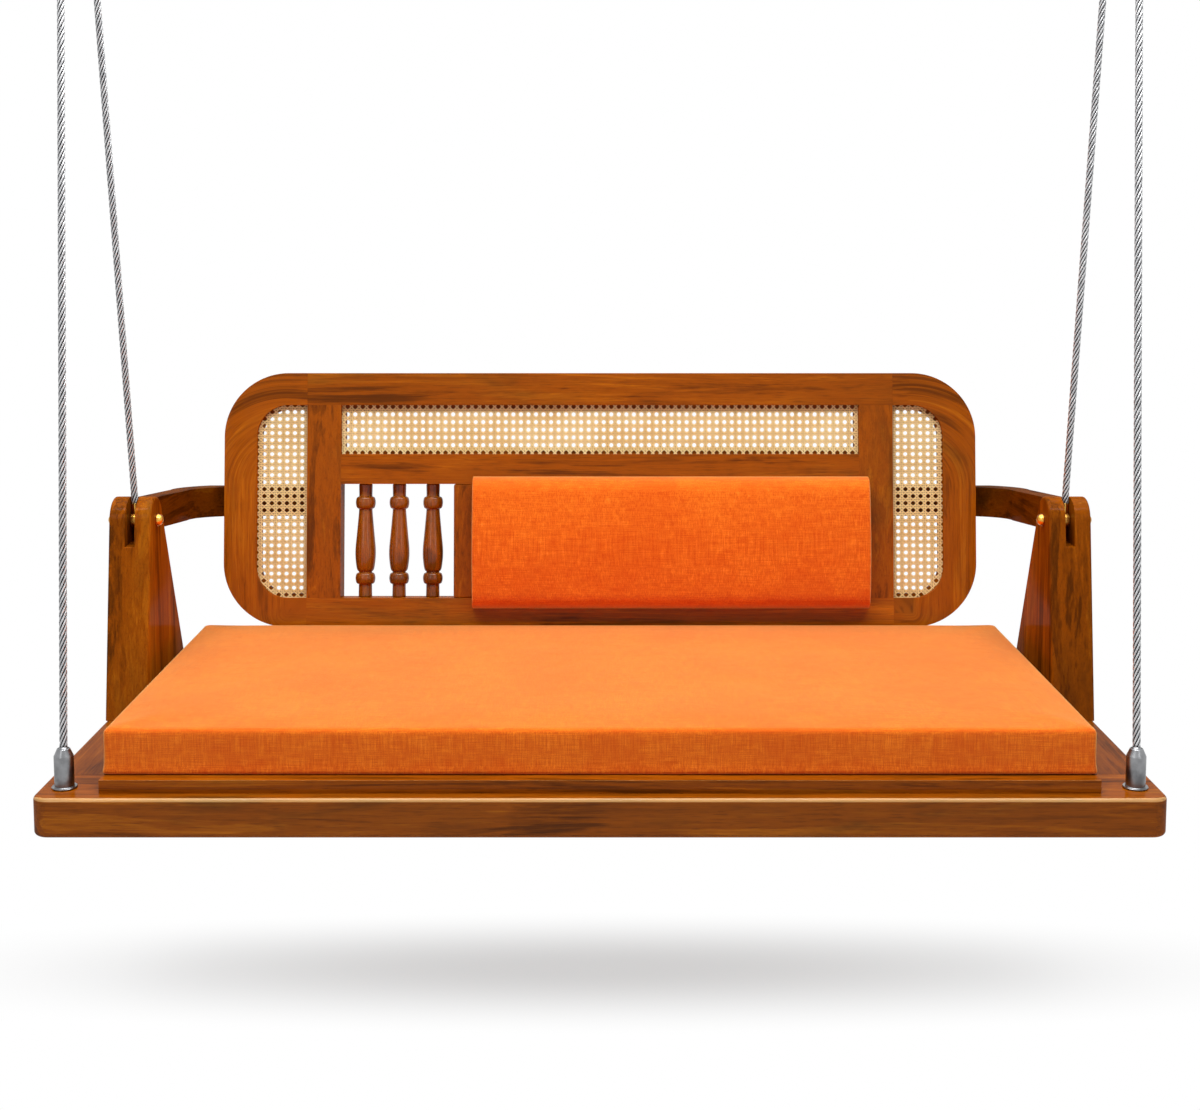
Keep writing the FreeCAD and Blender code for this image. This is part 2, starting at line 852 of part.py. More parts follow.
post_x = half - s.post_width
post_y = front + post_setback
post_stock = prism(
    "post_stock",
    "YZ_Plane",
    post_steps,
    s.post_width,
    (post_x, post_y, deck),
    round_radius=s.post_round,
    rounded=post_edge,
)
post_mid = half - s.post_width / 2
bolt_back = post_y + s.post_cap_back
bolt_high = deck + s.post_cap_height
slot = box(
    "post_slot",
    (s.slot_width, s.post_cap_back + s.slot_behind + s.overrun, s.post_cap_height),
    (post_mid - s.slot_width / 2, post_y - s.overrun, deck + s.slot_floor),
)
hanger_hole = rod(
    "hanger_hole",
    s.hanger_radius + s.fit_gap,
    s.post_width + s.overrun * 2,
    (post_x - s.overrun, bolt_back, bolt_high),
    "x",
)
post_bolts = []
post_holes = []
bolt_seat = deck - s.base_thick + s.post_bolt_recess
for i in (0, 1):
    shape = (s.post_bolt_radius, s.post_bolt_head, s.post_bolt_head_thick, s.post_bolt_recess)
    at = (post_mid, post_y + s.post_bolt_front + s.post_bolt_spacing * i, bolt_seat)
    length = deck + s.post_bolt_reach - bolt_seat
    post_holes.append(long_bolt(f"post_hole_{i}", s.fit_gap, *shape, at, length))
    bolt = long_bolt(f"post_bolt_{i}", 0 * s.fit_gap, *shape, at, length)
    post_bolts += [bolt, mirror(f"post_bolt_left_{i}", bolt)]
node("post_bolts", group("post_bolt_set", *post_bolts))
base_right = cut("side_rail_right", side_right, *post_holes)
node("base_right_rail", base_right)
node("base_left_rail", mirror("side_rail_left", base_right))

# Arm rails: a bent board that slopes down to the back, coped to the post and seated on the back of the frame
arm_y = bolt_back + s.arm_start
arm_half = s.arm_thick / 2
arm_end = stile_out - s.arm_end_cover
turn_x = back_half - s.arm_turn_in
turn_y = back_y + s.arm_turn_behind - arm_y
turn_rear = turn_y + s.arm_thick * 2
bend_x = post_mid - arm_half - s.arm_bend_in
bend_y = turn_y - s.arm_bend_run
bend_outer_x = bend_x + s.arm_thick
bend_outer_y = bend_y + arm_half


def bow_radius(x_run, y_run):
    """Radius of an arm's bend from the width and depth that it covers."""
    return root_of(x_run * x_run + y_run * y_run) * s.arm_bow_share


arm_steps = (
    (arm_end, turn_y),
    (arm_end, turn_rear),
    (turn_x, turn_rear),
    (bend_outer_x, bend_outer_y, bow_radius(bend_outer_x - turn_x, turn_rear - bend_outer_y), -1),
    (post_mid + arm_half, 0),
    (post_mid - arm_half, 0),
    (bend_x, bend_y),
    (turn_x, turn_y, bow_radius(bend_x - turn_x, turn_y - bend_y), 1),
)
arm_stock = prism(
    "arm_stock",
    "XY_Plane",
    arm_steps,
    s.arm_height,
    (0 * half, arm_y, deck + s.arm_rise),
    (-1, 0, 0),
    s.arm_slope,
)
frame_block = lean(box("frame_block", (back_half + s.fit_gap, s.back_thick * 2, s.back_height)))
frame_block.setExpression("Placement.Base.y", (back_y - s.back_thick * lean_cos).text)
frame_block.setExpression("Placement.Base.z", (back_z + s.back_thick * lean_sin).text)
behind_arm = lean(box("behind_arm", (s.base_width, s.overrun * 4, s.back_height)))
behind_arm.setExpression("Placement.Base.y", (back_y + (s.back_thick + s.arm_thick) * lean_cos).text)
behind_arm.setExpression("Placement.Base.z", (back_z - (s.back_thick + s.arm_thick) * lean_sin).text)

# Dowels between the arm and the post, one above the other behind the slot
arm_dowels = []
arm_dowel_holes = []
dowel_y = bolt_back + s.slot_behind + s.fit_gap * 2
for i, share in enumerate((-1, 1)):
    z = deck + s.arm_rise + s.arm_height / 2 + s.arm_dowel_spread * share / 2 - s.arm_dowel_spread / 2
    at = (post_mid, dowel_y + s.end_gap, z)
    peg = rod(f"arm_dowel_{i}", s.arm_dowel_radius, s.arm_dowel_length, at, "y")
    arm_dowels += [peg, mirror(f"arm_dowel_left_{i}", peg)]
    arm_dowel_holes.append(
        rod(
            f"arm_dowel_hole_{i}",
            s.arm_dowel_radius + s.fit_gap,
            s.arm_dowel_length + s.end_gap,
            (at[0], dowel_y + s.end_gap / 2, z),
            "y",
        )
    )
node("arm_dowels", group("arm_dowel_set", *arm_dowels))

post_right = cut("post_right", post_stock, slot, hanger_hole, *post_holes, *arm_dowel_holes)
node("arm_post_right", post_right)
node("arm_post_left", mirror("post_left", post_right))


# Screws through the arm into the stile and the end bow, heads at the back
def arm_screw(name, gap, x):
    at = leaning(x, s.back_thick + s.arm_thick, s.arm_screw_height)
    reach = s.arm_thick + s.arm_screw_bite
    top = s.arm_screw_head_thick if gap.value == 0 else s.overrun
    return turned(
        name,
        (
            (0, -reach - gap),
            (s.arm_screw_radius + gap, -reach - gap),
            (s.arm_screw_radius + gap, 0),
            (s.arm_screw_head + gap, 0),
            (s.arm_screw_head + gap, top),
            (0, top),
        ),
        at,
        (-1, 0, 0),
        90 + s.back_lean,
    )


stile_mid = stile_half + s.stile_width / 2
end_mid = back_half - s.end_width / 2
arm_screws = []
arm_holes = []
for tag, x in (("stile", stile_mid), ("end", end_mid)):
    piece = arm_screw(f"arm_screw_{tag}", 0 * s.fit_gap, x)
    arm_screws += [piece, mirror(f"arm_screw_left_{tag}", piece)]
    arm_holes.append(arm_screw(f"arm_hole_{tag}", s.fit_gap, x))
node("arm_screws", group("arm_screw_set", *arm_screws))
arm_right = cut("arm_right", arm_stock, post_stock, frame_block, behind_arm, *arm_dowel_holes, *arm_holes)
node("arm_rail_right", arm_right)
node("arm_rail_left", mirror("arm_left", arm_right))

# Brass hanger bolts through the posts: a domed head inside, a domed cap nut outside


def domed(name, bore, depth, at, axis, angle):
    """A domed head on a thin collar; with a bore it is a cap nut."""
    dome = (s.dome_radius * s.dome_radius + s.dome_height * s.dome_height) / (s.dome_height * 2)
    steps = [(s.collar_radius, 0), (s.collar_radius, s.collar_thick), (s.dome_radius, s.collar_thick)]
    steps.append((0, s.collar_thick + s.dome_height, dome, 1))
    if bore:
        steps += [(0, depth), (bore, depth), (bore, 0)]
    else:
        steps += [(0, -depth), (s.hanger_radius, -depth), (s.hanger_radius, 0)]
    return turned(name, steps, at, axis, angle)


thread = s.cap_depth - s.dome_height
head = domed(
    "hanger_bolt_right",
    None,
    s.post_width + thread,
    (post_x, bolt_back, bolt_high),
    (0, -1, 0),
    90,
)
node("hanger_bolts", group("hanger_bolt_set", head, mirror("hanger_bolt_left", head)))
cap_nut = domed(
    "hanger_cap_right",
    s.hanger_radius + s.fit_gap,
    thread + s.end_gap,
    (half, bolt_back, bolt_high),
    (0, 1, 0),
    90,
)
node("hanger_cap_nuts", group("hanger_cap_set", cap_nut, mirror("hanger_cap_left", cap_nut)))

# Backrest frame, drawn upright in its own plane: across, behind the front face, up
inner_corner = s.back_corner - s.end_width


def bar(name, x, up, width, height):
    return box(name, (width, s.back_thick, height), (x, 0 * x, up))


def side_opening(grow):
    """Outline of the right-hand cane opening, grown outwards all round."""
    corner = inner_corner + grow
    left, right = stile_out - grow, end_in + grow
    low, high = s.bottom_rail_height - grow, top_foot + grow
    return (
        (left, low),
        (right - corner, low),
        (right, low + corner, corner, 1),
        (right, high - corner),
        (right - corner, high, corner, 1),
        (left, high),
    )


def top_opening(grow):
    """Outline of the long cane opening, grown outwards all round."""
    wide = stile_half + grow
    low, high = middle_high - grow, top_foot + grow
    return ((-wide, low), (wide, low), (wide, high), (-wide, high))


def plate(name, steps, depth, thick):
    return prism(name, "XZ_Plane", steps, thick, (0 * depth, depth, 0 * depth))


rebate_depth = s.back_thick - s.rebate_front + s.overrun
side_rebate = plate("side_rebate", side_opening(s.rebate_width), s.rebate_front, rebate_depth)
side_rebate_left = mirror("side_rebate_left", side_rebate)
top_rebate = plate("top_rebate", top_opening(s.rebate_width), s.rebate_front, rebate_depth)


def upright_tenon(name, x, width, low, high, gap, reach_gap):
    """The tenons of an upright piece as one bar through it, or its mortises."""
    reach = s.back_tenon_length + reach_gap
    return box(
        name,
        (width - s.back_tenon_shoulder * 2 + gap * 2, s.back_tenon_thick + gap * 2, high - low + reach * 2),
        (x + s.back_tenon_shoulder - gap, s.back_thick / 2 - s.back_tenon_thick / 2 - gap, low - reach),
    )


zero = 0 * s.fit_gap
stile_bar = bar("stile_bar", stile_half, s.bottom_rail_height, s.stile_width, top_foot - s.bottom_rail_height)
stile_shape = (stile_half, s.stile_width, s.bottom_rail_height, top_foot)
stile_tenons = upright_tenon("stile_tenons", *stile_shape, zero, zero)
stile_slots = upright_tenon("stile_slots", *stile_shape, s.fit_gap, s.end_gap)
stile_slots_left = mirror("stile_slots_left", stile_slots)



def middle_tenon(name, gap, reach_gap):
    reach = stile_half + s.back_tenon_length + reach_gap
    low = middle_low + s.back_tenon_shoulder - gap
    return box(
        name,
        (reach * 2, s.back_tenon_thick + gap * 2, s.middle_rail_height - s.back_tenon_shoulder * 2 + gap * 2),
        (-reach, s.back_thick / 2 - s.back_tenon_thick / 2 - gap, low),
    )


middle_bar = bar("middle_bar", -stile_half, middle_low, stile_half * 2, s.middle_rail_height)
middle_slots = middle_tenon("middle_slots", s.fit_gap, s.end_gap)

short_shape = (-short_left, s.short_stile_width, s.bottom_rail_height, middle_low)
short_bar = bar(
    "short_bar", -short_left, s.bottom_rail_height, s.short_stile_width, middle_low - s.bottom_rail_height
)
short_slots = upright_tenon("short_slots", *short_shape, s.fit_gap, s.end_gap)

# Spindles: turned between the bottom and the middle rail, with a round tenon at each end
spindle_long = middle_low - s.bottom_rail_height
spindle_holes = []
for tag, share in (("left", -1), ("middle", 0), ("right", 1)):
    x = s.spindle_pitch * share - stile_half + s.spindle_middle_in
    steps = [
        (0, -s.spindle_tenon_length),
        (s.spindle_tenon_radius, -s.spindle_tenon_length),
        (s.spindle_tenon_radius, 0),
    ]
    for high, kind, wide in SPINDLE_SHARES:
        steps.append((getattr(s, kind) * wide, spindle_long * high if high else 0))
    steps += [
        (s.spindle_tenon_radius, spindle_long),
        (s.spindle_tenon_radius, spindle_long + s.spindle_tenon_length),
        (0, spindle_long + s.spindle_tenon_length),
    ]
    at = leaning(x, s.back_thick / 2, s.bottom_rail_height)
    node(f"spindle_{tag}", turned(f"spindle_{tag}_turned", steps, at, (-1, 0, 0), s.back_lean))
    reach = s.spindle_tenon_length + s.end_gap
    spindle_holes.append(
        rod(
            f"spindle_{tag}_hole",
            s.spindle_tenon_radius + s.fit_gap,
            spindle_long + reach * 2,
            (x, s.back_thick / 2, s.bottom_rail_height - reach),
        )
    )

# Dowels that join the end bows to the top and bottom rails
frame_dowels = []
frame_dowel_holes = []
for tag, middle in (
    ("top", s.back_height - s.top_rail_height / 2 + s.dowel_radius),
    ("bottom", s.bottom_rail_height / 2 - s.dowel_radius),
):
    for i, share in enumerate((-1, 1)):
        up = middle + s.dowel_spread / 2 * share
        at = (stile_out - s.dowel_length / 2, s.back_thick / 2, up)
        pin = rod(f"frame_peg_{tag}_{i}", s.dowel_radius, s.dowel_length, at, "x")
        peg = lean(group(f"frame_dowel_{tag}_{i}", pin))
        frame_dowels += [peg, mirror(f"frame_dowel_left_{tag}_{i}", peg)]
        frame_dowel_holes.append(
            rod(
                f"frame_hole_{tag}_{i}",
                s.dowel_radius + s.fit_gap,
                s.dowel_length + s.end_gap,
                (at[0] - s.end_gap / 2, at[1], at[2]),
                "x",
            )
        )
node("frame_dowels", group("frame_dowel_set", *frame_dowels))
left_dowel_holes = [mirror(f"{hole.Name}_left", hole) for hole in frame_dowel_holes]
top_dowels, bottom_dowels = frame_dowel_holes[:2], frame_dowel_holes[2:]
top_left_dowels, bottom_left_dowels = left_dowel_holes[:2], left_dowel_holes[2:]

rail_sides = stile_half * 2 + s.stile_width * 2
top_bar = bar("top_bar", -stile_out, top_foot, rail_sides, s.top_rail_height)
bottom_bar = bar("bottom_bar", -stile_out, zero, rail_sides, s.bottom_rail_height)
side_cuts = (side_rebate, side_rebate_left)
top_rail = cut(
    "top_rail", top_bar, *side_cuts, top_rebate, stile_slots, stile_slots_left, *top_dowels, *top_left_dowels
)
node("back_top_rail", lean(top_rail))
bottom_rail = cut(
    "bottom_rail",
    bottom_bar,
    *side_cuts,
    stile_slots,
    stile_slots_left,
    short_slots,
    *spindle_holes,
    *bottom_dowels,
    *bottom_left_dowels,
)
node("back_bottom_rail", cut("bottom_rail_bored", lean(bottom_rail), *foot_holes))
middle_rail = cut(
    "middle_rail",
    join("middle_whole", middle_bar, middle_tenon("middle_tenons", zero, zero)),
    top_rebate,
    short_slots,
    *spindle_holes,
)
node("back_middle_rail", lean(middle_rail))
stile = cut("stile_cut", join("stile_whole", stile_bar, stile_tenons), side_rebate, top_rebate, middle_slots)
stile_right = cut("stile_right", lean(stile), arm_holes[0])
node("back_stile_right", stile_right)
node("back_stile_left", mirror("stile_left", stile_right))
short_stile = lean(join("short_whole", short_bar, upright_tenon("short_tenons", *short_shape, zero, zero)))
node("back_short_stile", short_stile)

bow_steps = (
    (stile_out, 0),
    (back_half - s.back_corner, 0),
    (back_half, s.back_corner, s.back_corner, 1),
    (back_half, s.back_height - s.back_corner),
    (back_half - s.back_corner, s.back_height, s.back_corner, 1),
    (stile_out, s.back_height),
    (stile_out, top_foot),
    (end_in - inner_corner, top_foot),
    (end_in, top_foot - inner_corner, inner_corner, -1),
    (end_in, s.bottom_rail_height + inner_corner),
    (end_in - inner_corner, s.bottom_rail_height, inner_corner, -1),
    (stile_out, s.bottom_rail_height),
)
bow_stock = prism("bow_stock", "XZ_Plane", bow_steps, s.back_thick)
bow = cut("bow_cut", bow_stock, side_rebate, *top_dowels, *bottom_dowels)
bow_right = cut("bow_right", lean(bow), arm_holes[1])
node("back_end_right", bow_right)
node("back_end_left", mirror("bow_left", bow_right))


# Cane: one thin holed sheet in each rebate, held by a bead behind it
def holed(steps, columns, rows, pitch_across, pitch_up, hole, thick):
    """A flat sheet with a grid of square gaps centred in its outline."""
    spots = [(as_size(step[0]).value, as_size(step[1]).value) for step in steps]
    edges = []
    for i, step in enumerate(steps):
        before, here = V(spots[i - 1][0], 0, spots[i - 1][1]), V(spots[i][0], 0, spots[i][1])
        if len(step) == 4:
            flat = arc_between(V(before.x, before.z, 0), V(here.x, here.z, 0), step[2].value, step[3])
            mid = flat.value((flat.FirstParameter + flat.LastParameter) / 2)
            edges.append(Part.Arc(before, V(mid.x, 0, mid.y), here).toShape())
        else:
            edges.append(Part.LineSegment(before, here).toShape())
    outline = Part.Wire(edges)
    middle_x = (outline.BoundBox.XMin + outline.BoundBox.XMax) / 2
    middle_z = (outline.BoundBox.ZMin + outline.BoundBox.ZMax) / 2
    wires = [outline]
    sheet_face = Part.Face(outline)
    for column in range(columns):
        for row in range(rows):
            x = middle_x + (column - (columns - 1) / 2) * pitch_across
            z = middle_z + (row - (rows - 1) / 2) * pitch_up
            r = hole / 2
            ring = [V(x - r, 0, z - r), V(x + r, 0, z - r), V(x + r, 0, z + r), V(x - r, 0, z + r)]
            around = [V(p.x + a, 0, p.z + b) for p in ring for a in (-r, r) for b in (-r, r)]
            if all(sheet_face.isInside(p, s.fit_gap.value / 100, True) for p in around):
                wires.append(Part.makePolygon([*ring, ring[0]]))
    face = Part.Face(wires, "Part::FaceMakerBullseye")
    return face.extrude(V(0, thick, 0)), len(wires) - 1


cane_reach = s.rebate_width - s.fit_gap * 2
side_wide = end_in - stile_out
side_tall = top_foot - s.bottom_rail_height
columns = max(1, round(side_wide.value / s.cane_pitch.value - 0.5))
rows = max(1, round(side_tall.value / s.cane_pitch.value - 0.5))
pitch = s.cane_pitch.value
shape, gaps = holed(
    side_opening(cane_reach), columns, rows, pitch, pitch, s.cane_hole.value, s.cane_thick.value
)
print("side cane gaps", gaps)
cane_side = solid("cane_side_sheet", shape)
cane_side_at = leaning(zero, s.rebate_front, zero)
put(cane_side, cane_side_at, (-1, 0, 0), s.back_lean)
node("cane_right", cane_side)
node("cane_left", mirror("cane_left_twin", cane_side))
top_tall = top_foot - middle_high
columns = max(1, round(stile_half.value * 2 / s.cane_top_pitch.value - 0.5))
rows = max(1, round(top_tall.value / s.cane_top_pitch.value - 0.5))
pitch = s.cane_top_pitch.value
shape, gaps = holed(
    top_opening(cane_reach), columns, rows, pitch, pitch, s.cane_hole.value, s.cane_thick.value
)
print("top cane gaps", gaps)
cane_top = solid("cane_top_sheet", shape)
put(cane_top, cane_side_at, (-1, 0, 0), s.back_lean)
node("cane_top", cane_top)
bead_at = s.rebate_front + s.cane_thick + s.fit_gap


def bead(name, opening):
    ring = plate(f"{name}_stock", opening(cane_reach), bead_at, s.bead_thick)
    hole = plate(f"{name}_hole", opening(-s.bead_cover), bead_at - s.overrun, s.bead_thick + s.overrun * 2)
    return lean(cut(name, ring, hole))


side_bead = bead("side_bead", side_opening)
side_bead_left = mirror("side_bead_left", side_bead)
node("cane_beads", group("bead_set", side_bead, side_bead_left, bead("top_bead", top_opening)))

# Back pad on the front of the frame, with its board let into the back of it
pad_form = solid(
    "back_pad_form",
    cushion(
        pad_width.value,
        pad_height.value,
        s.pad_thick.value,
        s.pad_crown.value,
        s.pad_edge.value,
        s.pad_draw.value,
    ),
)
pad_middle = -pad_left + pad_width / 2
put(pad_form, leaning(pad_middle, zero, s.pad_foot + pad_height / 2), (1, 0, 0), 90 - s.back_lean)
pad_board_sides = (pad_width - s.pad_board_inset * 2, s.pad_board_thick, pad_height - s.pad_board_inset * 2)
pad_board_at = (-pad_left + s.pad_board_inset, -s.pad_board_thick, s.pad_foot + s.pad_board_inset)
pad_board = lean(group("pad_board_set", box("pad_board_stock", pad_board_sides, pad_board_at)))
node("back_pad", cut("back_pad_cut", pad_form, pad_board))
node("back_pad_board", pad_board)


# Ropes: straight round bars between their swaged ends
def vector(at):
    return V(*[as_size(value).value for value in at])


def rope(tag, low, high, low_reach, high_reach):
    """A rope from near its lower centre to near its upper pin, with the direction it runs in."""
    line = high - low
    way = V(line).normalize()
    start = low + way * low_reach
    body = Part.makeCylinder(s.rope_radius.value, line.Length - low_reach - high_reach, start, way)
    ends = [[round(v, 1) for v in end] for end in (low, high)]
    print(tag, "runs", round(line.Length, 1), "mm from", ends[0], "to", ends[1])
    return body, way


def eyed(centre, way, radius, thick, bore, neck, reach):
    """A flat eye on a pin along X, with a round neck that the rope is swaged into."""
    across = V(1, 0, 0)
    disc = Part.makeCylinder(radius, thick, centre - across * (thick / 2), across)
    shank = Part.makeCylinder(neck, reach, centre, way)
    whole = disc.fuse(shank)
    hole = Part.makeCylinder(bore, thick * 2, centre - across * thick, across)
    return whole.cut(hole).removeSplitter()


pivot = (terminal_half, term_y, deck + s.pivot_height)
front_pin = (pin_half, -s.pin_spread / 2, pin_z)
rear_pin = (pin_half, s.pin_spread / 2, pin_z)
thimble_at = (post_mid, bolt_back + s.thimble_shift_back, bolt_high - s.thimble_shift_down)
flat = math.sqrt(s.ball_radius.value ** 2 - s.rope_radius.value ** 2)
shape, way = rope("front rope", vector(pivot), vector(front_pin), flat, s.ferrule_reach.value)
rope_front = node("rope_front_right", solid("rope_front", shape))
node("rope_front_left", mirror("rope_front_twin", rope_front))
latitude = math.degrees(math.asin(flat / s.ball_radius.value))
ball = solid("ball_front", Part.makeSphere(s.ball_radius.value, vector(pivot), way, -90, latitude, 360))
node("front_rope_balls", group("ball_set", ball, mirror("ball_front_left", ball)))
pin_bore = s.pin_radius.value + s.turn_gap.value
eye_sizes = (s.eye_radius.value, s.eye_thick.value, pin_bore, s.ferrule_radius.value, s.ferrule_reach.value)
eye = solid("eye_front", eyed(vector(front_pin), -way, *eye_sizes))
node("front_rope_eyes", group("eye_front_set", eye, mirror("eye_front_left", eye)))
reaches = (s.thimble_reach.value, s.ferrule_reach.value)
shape, way = rope("rear rope", vector(thimble_at), vector(rear_pin), *reaches)
rope_rear = node("rope_rear_right", solid("rope_rear", shape))
node("rope_rear_left", mirror("rope_rear_twin", rope_rear))
eye = solid("eye_rear", eyed(vector(rear_pin), -way, *eye_sizes))
node("rear_rope_eyes", group("eye_rear_set", eye, mirror("eye_rear_left", eye)))
thimble = solid(
    "thimble_rear",
    eyed(
        vector(thimble_at),
        way,
        s.thimble_radius.value,
        s.thimble_thick.value,
        s.thimble_bore.value,
        s.thimble_neck.value,
        s.thimble_reach.value,
    ),
)
node("rear_rope_thimbles", group("thimble_set", thimble, mirror("thimble_rear_left", thimble)))

# Ceiling brackets: a plate with four screw holes on a circle and two ears that carry a pin
plate_half = s.plate_side / 2
corner = s.plate_corner
ear_gap = s.eye_thick / 2 + s.turn_gap * 2
hole_offset = s.plate_hole_circle / root_of(as_size(2))
pins = []
nuts = []
for tag, pin in (("front", front_pin), ("rear", rear_pin)):
    x, y, _ = pin
    blank = prism(
        f"plate_{tag}",
        "XY_Plane",
        (
            (-plate_half, -plate_half + corner),
            (-plate_half + corner, -plate_half, corner, 1),
            (plate_half - corner, -plate_half),
            (plate_half, -plate_half + corner, corner, 1),
            (plate_half, plate_half - corner),
            (plate_half - corner, plate_half, corner, 1),
            (-plate_half + corner, plate_half),
            (-plate_half, plate_half - corner, corner, 1),
        ),
        s.plate_thick,
        (x, y, -s.plate_thick),
    )
    parts = [blank]
    for i, side in enumerate((-1, 1)):
        inner = ear_gap if side > 0 else -ear_gap - s.ear_thick
        tab = box(
            f"ear_{tag}_{i}",
            (s.ear_thick, s.ear_width, s.pin_drop - s.plate_thick),
            (x + inner, y - s.ear_width / 2, pin_z),
        )
        nose = rod(f"ear_nose_{tag}_{i}", s.ear_round, s.ear_thick, (x + inner, y, pin_z), "x")
        parts += [tab, nose]
    holes = [
        rod(
            f"ear_hole_{tag}",
            s.pin_radius + s.fit_gap,
            s.plate_side,
            (x - plate_half, y, pin_z),
            "x",
        )
    ]
    for i, (across, along) in enumerate(((-1, -1), (1, -1), (1, 1), (-1, 1))):
        at = (x + hole_offset * across, y + hole_offset * along, -s.plate_thick - s.overrun / 2)
        holes.append(rod(f"plate_hole_{tag}_{i}", s.plate_hole_radius, s.plate_thick + s.overrun, at))
    bracket = cut(f"bracket_{tag}", join(f"bracket_{tag}_whole", *parts), *holes)
    node(f"ceiling_bracket_{tag}_right", bracket)
    node(f"ceiling_bracket_{tag}_left", mirror(f"bracket_{tag}_left", bracket))
    grip = ear_gap + s.ear_thick
    shank = rod(f"pin_shank_{tag}", s.pin_radius, grip * 2 + s.pin_tail, (x - grip, y, pin_z), "x")
    cap_disc = rod(
        f"pin_head_{tag}", s.pin_head_radius, s.pin_head_thick, (x - grip - s.pin_head_thick, y, pin_z), "x"
    )
    pin_whole = join(f"pin_{tag}", shank, cap_disc)
    pins += [pin_whole, mirror(f"pin_{tag}_left", pin_whole)]
    nut = hexagon(
        f"pin_nut_{tag}",
        s.pin_head_radius,
        s.nut_thick,
        s.pin_radius + s.fit_gap,
        (x + grip, y, pin_z),
        (0, 1, 0),
        90,
    )
    nuts += [nut, mirror(f"pin_nut_{tag}_left", nut)]
node("hanger_pins", group("pin_set", *pins))
node("hanger_nuts", group("nut_set", *nuts))

doc.recompute()
faults = [o.Label for o in doc.Objects if "Invalid" in o.State or "Error" in o.State]
for label, thing in NODES.items():
    if thing.Shape.isNull() or not thing.Shape.isValid() or not thing.Shape.Solids:
        faults.append(label)
if faults:
    raise RuntimeError(f"these did not build: {faults}")
os.makedirs("parts", exist_ok=True)
for label, thing in NODES.items():
    thing.Shape.exportStep(f"parts/{label}.step")
    print(label, len(thing.Shape.Solids), "solids,", round(thing.Shape.Volume / 1000), "cc")
print(len(NODES), "nodes")
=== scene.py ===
# %% [markdown]
# # A wooden swing on four wire ropes
# The swing is a lacquered teak bench that hangs from the ceiling. Its solids come from a CAD model, which is loaded
# here as a fixed frame, in metres. The solids could be shown as they are, but wood with knife-sharp edges and a
# cushion like a block look wrong. So every piece that the eye rests on is dressed or made again over its solid.

# %% Load the frame
import math

import bmesh
import bpy
from mathutils import Matrix, Vector


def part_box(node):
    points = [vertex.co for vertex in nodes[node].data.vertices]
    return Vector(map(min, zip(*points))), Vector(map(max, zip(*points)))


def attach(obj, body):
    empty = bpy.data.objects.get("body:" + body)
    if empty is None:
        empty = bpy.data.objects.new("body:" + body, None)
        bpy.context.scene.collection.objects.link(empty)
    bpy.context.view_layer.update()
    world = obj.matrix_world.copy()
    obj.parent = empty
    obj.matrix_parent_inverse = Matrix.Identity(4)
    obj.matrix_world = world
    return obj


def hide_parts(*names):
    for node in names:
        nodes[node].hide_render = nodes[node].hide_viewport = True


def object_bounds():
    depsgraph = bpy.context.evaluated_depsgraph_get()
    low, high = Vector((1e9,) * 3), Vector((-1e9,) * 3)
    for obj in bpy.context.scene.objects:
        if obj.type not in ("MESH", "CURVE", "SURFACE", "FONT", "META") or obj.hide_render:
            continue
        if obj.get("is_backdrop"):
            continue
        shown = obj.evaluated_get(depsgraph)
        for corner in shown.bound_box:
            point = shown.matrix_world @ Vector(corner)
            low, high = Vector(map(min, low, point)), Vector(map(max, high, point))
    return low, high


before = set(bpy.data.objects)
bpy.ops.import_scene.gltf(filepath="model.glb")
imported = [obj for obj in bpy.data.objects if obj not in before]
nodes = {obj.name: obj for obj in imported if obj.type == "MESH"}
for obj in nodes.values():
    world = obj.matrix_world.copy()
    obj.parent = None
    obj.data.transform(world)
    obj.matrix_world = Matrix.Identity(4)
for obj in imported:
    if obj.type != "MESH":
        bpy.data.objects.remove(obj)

scene = bpy.context.scene
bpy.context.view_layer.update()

# %% [markdown]
# ## The camera
# The photograph was taken from straight in front, a little above the seat, with the ropes running up out of the
# picture. A camera that is tipped would make the uprights lean together, so most of the downward look is done
# with the lens shift, as a view camera does it, and only six degrees are left to the tilt.

# %% Set up the camera
front_rail_low, front_rail_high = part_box("base_front_rail")
seat_front = front_rail_low[1]
deck = front_rail_high[2]
lens = bpy.data.cameras.new("camera")
lens.lens = 51.3
lens.sensor_width = 36.0
lens.shift_y = -0.1302
camera = bpy.data.objects.new("camera", lens)
camera.location = (0.0, seat_front - 2.1763, deck + 0.7568)
camera.rotation_euler = (math.radians(84.0), 0.0, 0.0)
scene.collection.objects.link(camera)
scene.camera = camera
print("camera at", [round(c, 3) for c in camera.location])

# %% [markdown]
# ## A short way to write finishes
# A finish is a tree of shader nodes. Placing each node by hand takes many lines, and the recipe gets lost in them.
# A small wrapper round one output socket keeps it readable: sums and products of outputs become Math nodes, and
# one method adds any other node, with its settings first and its inputs after them.


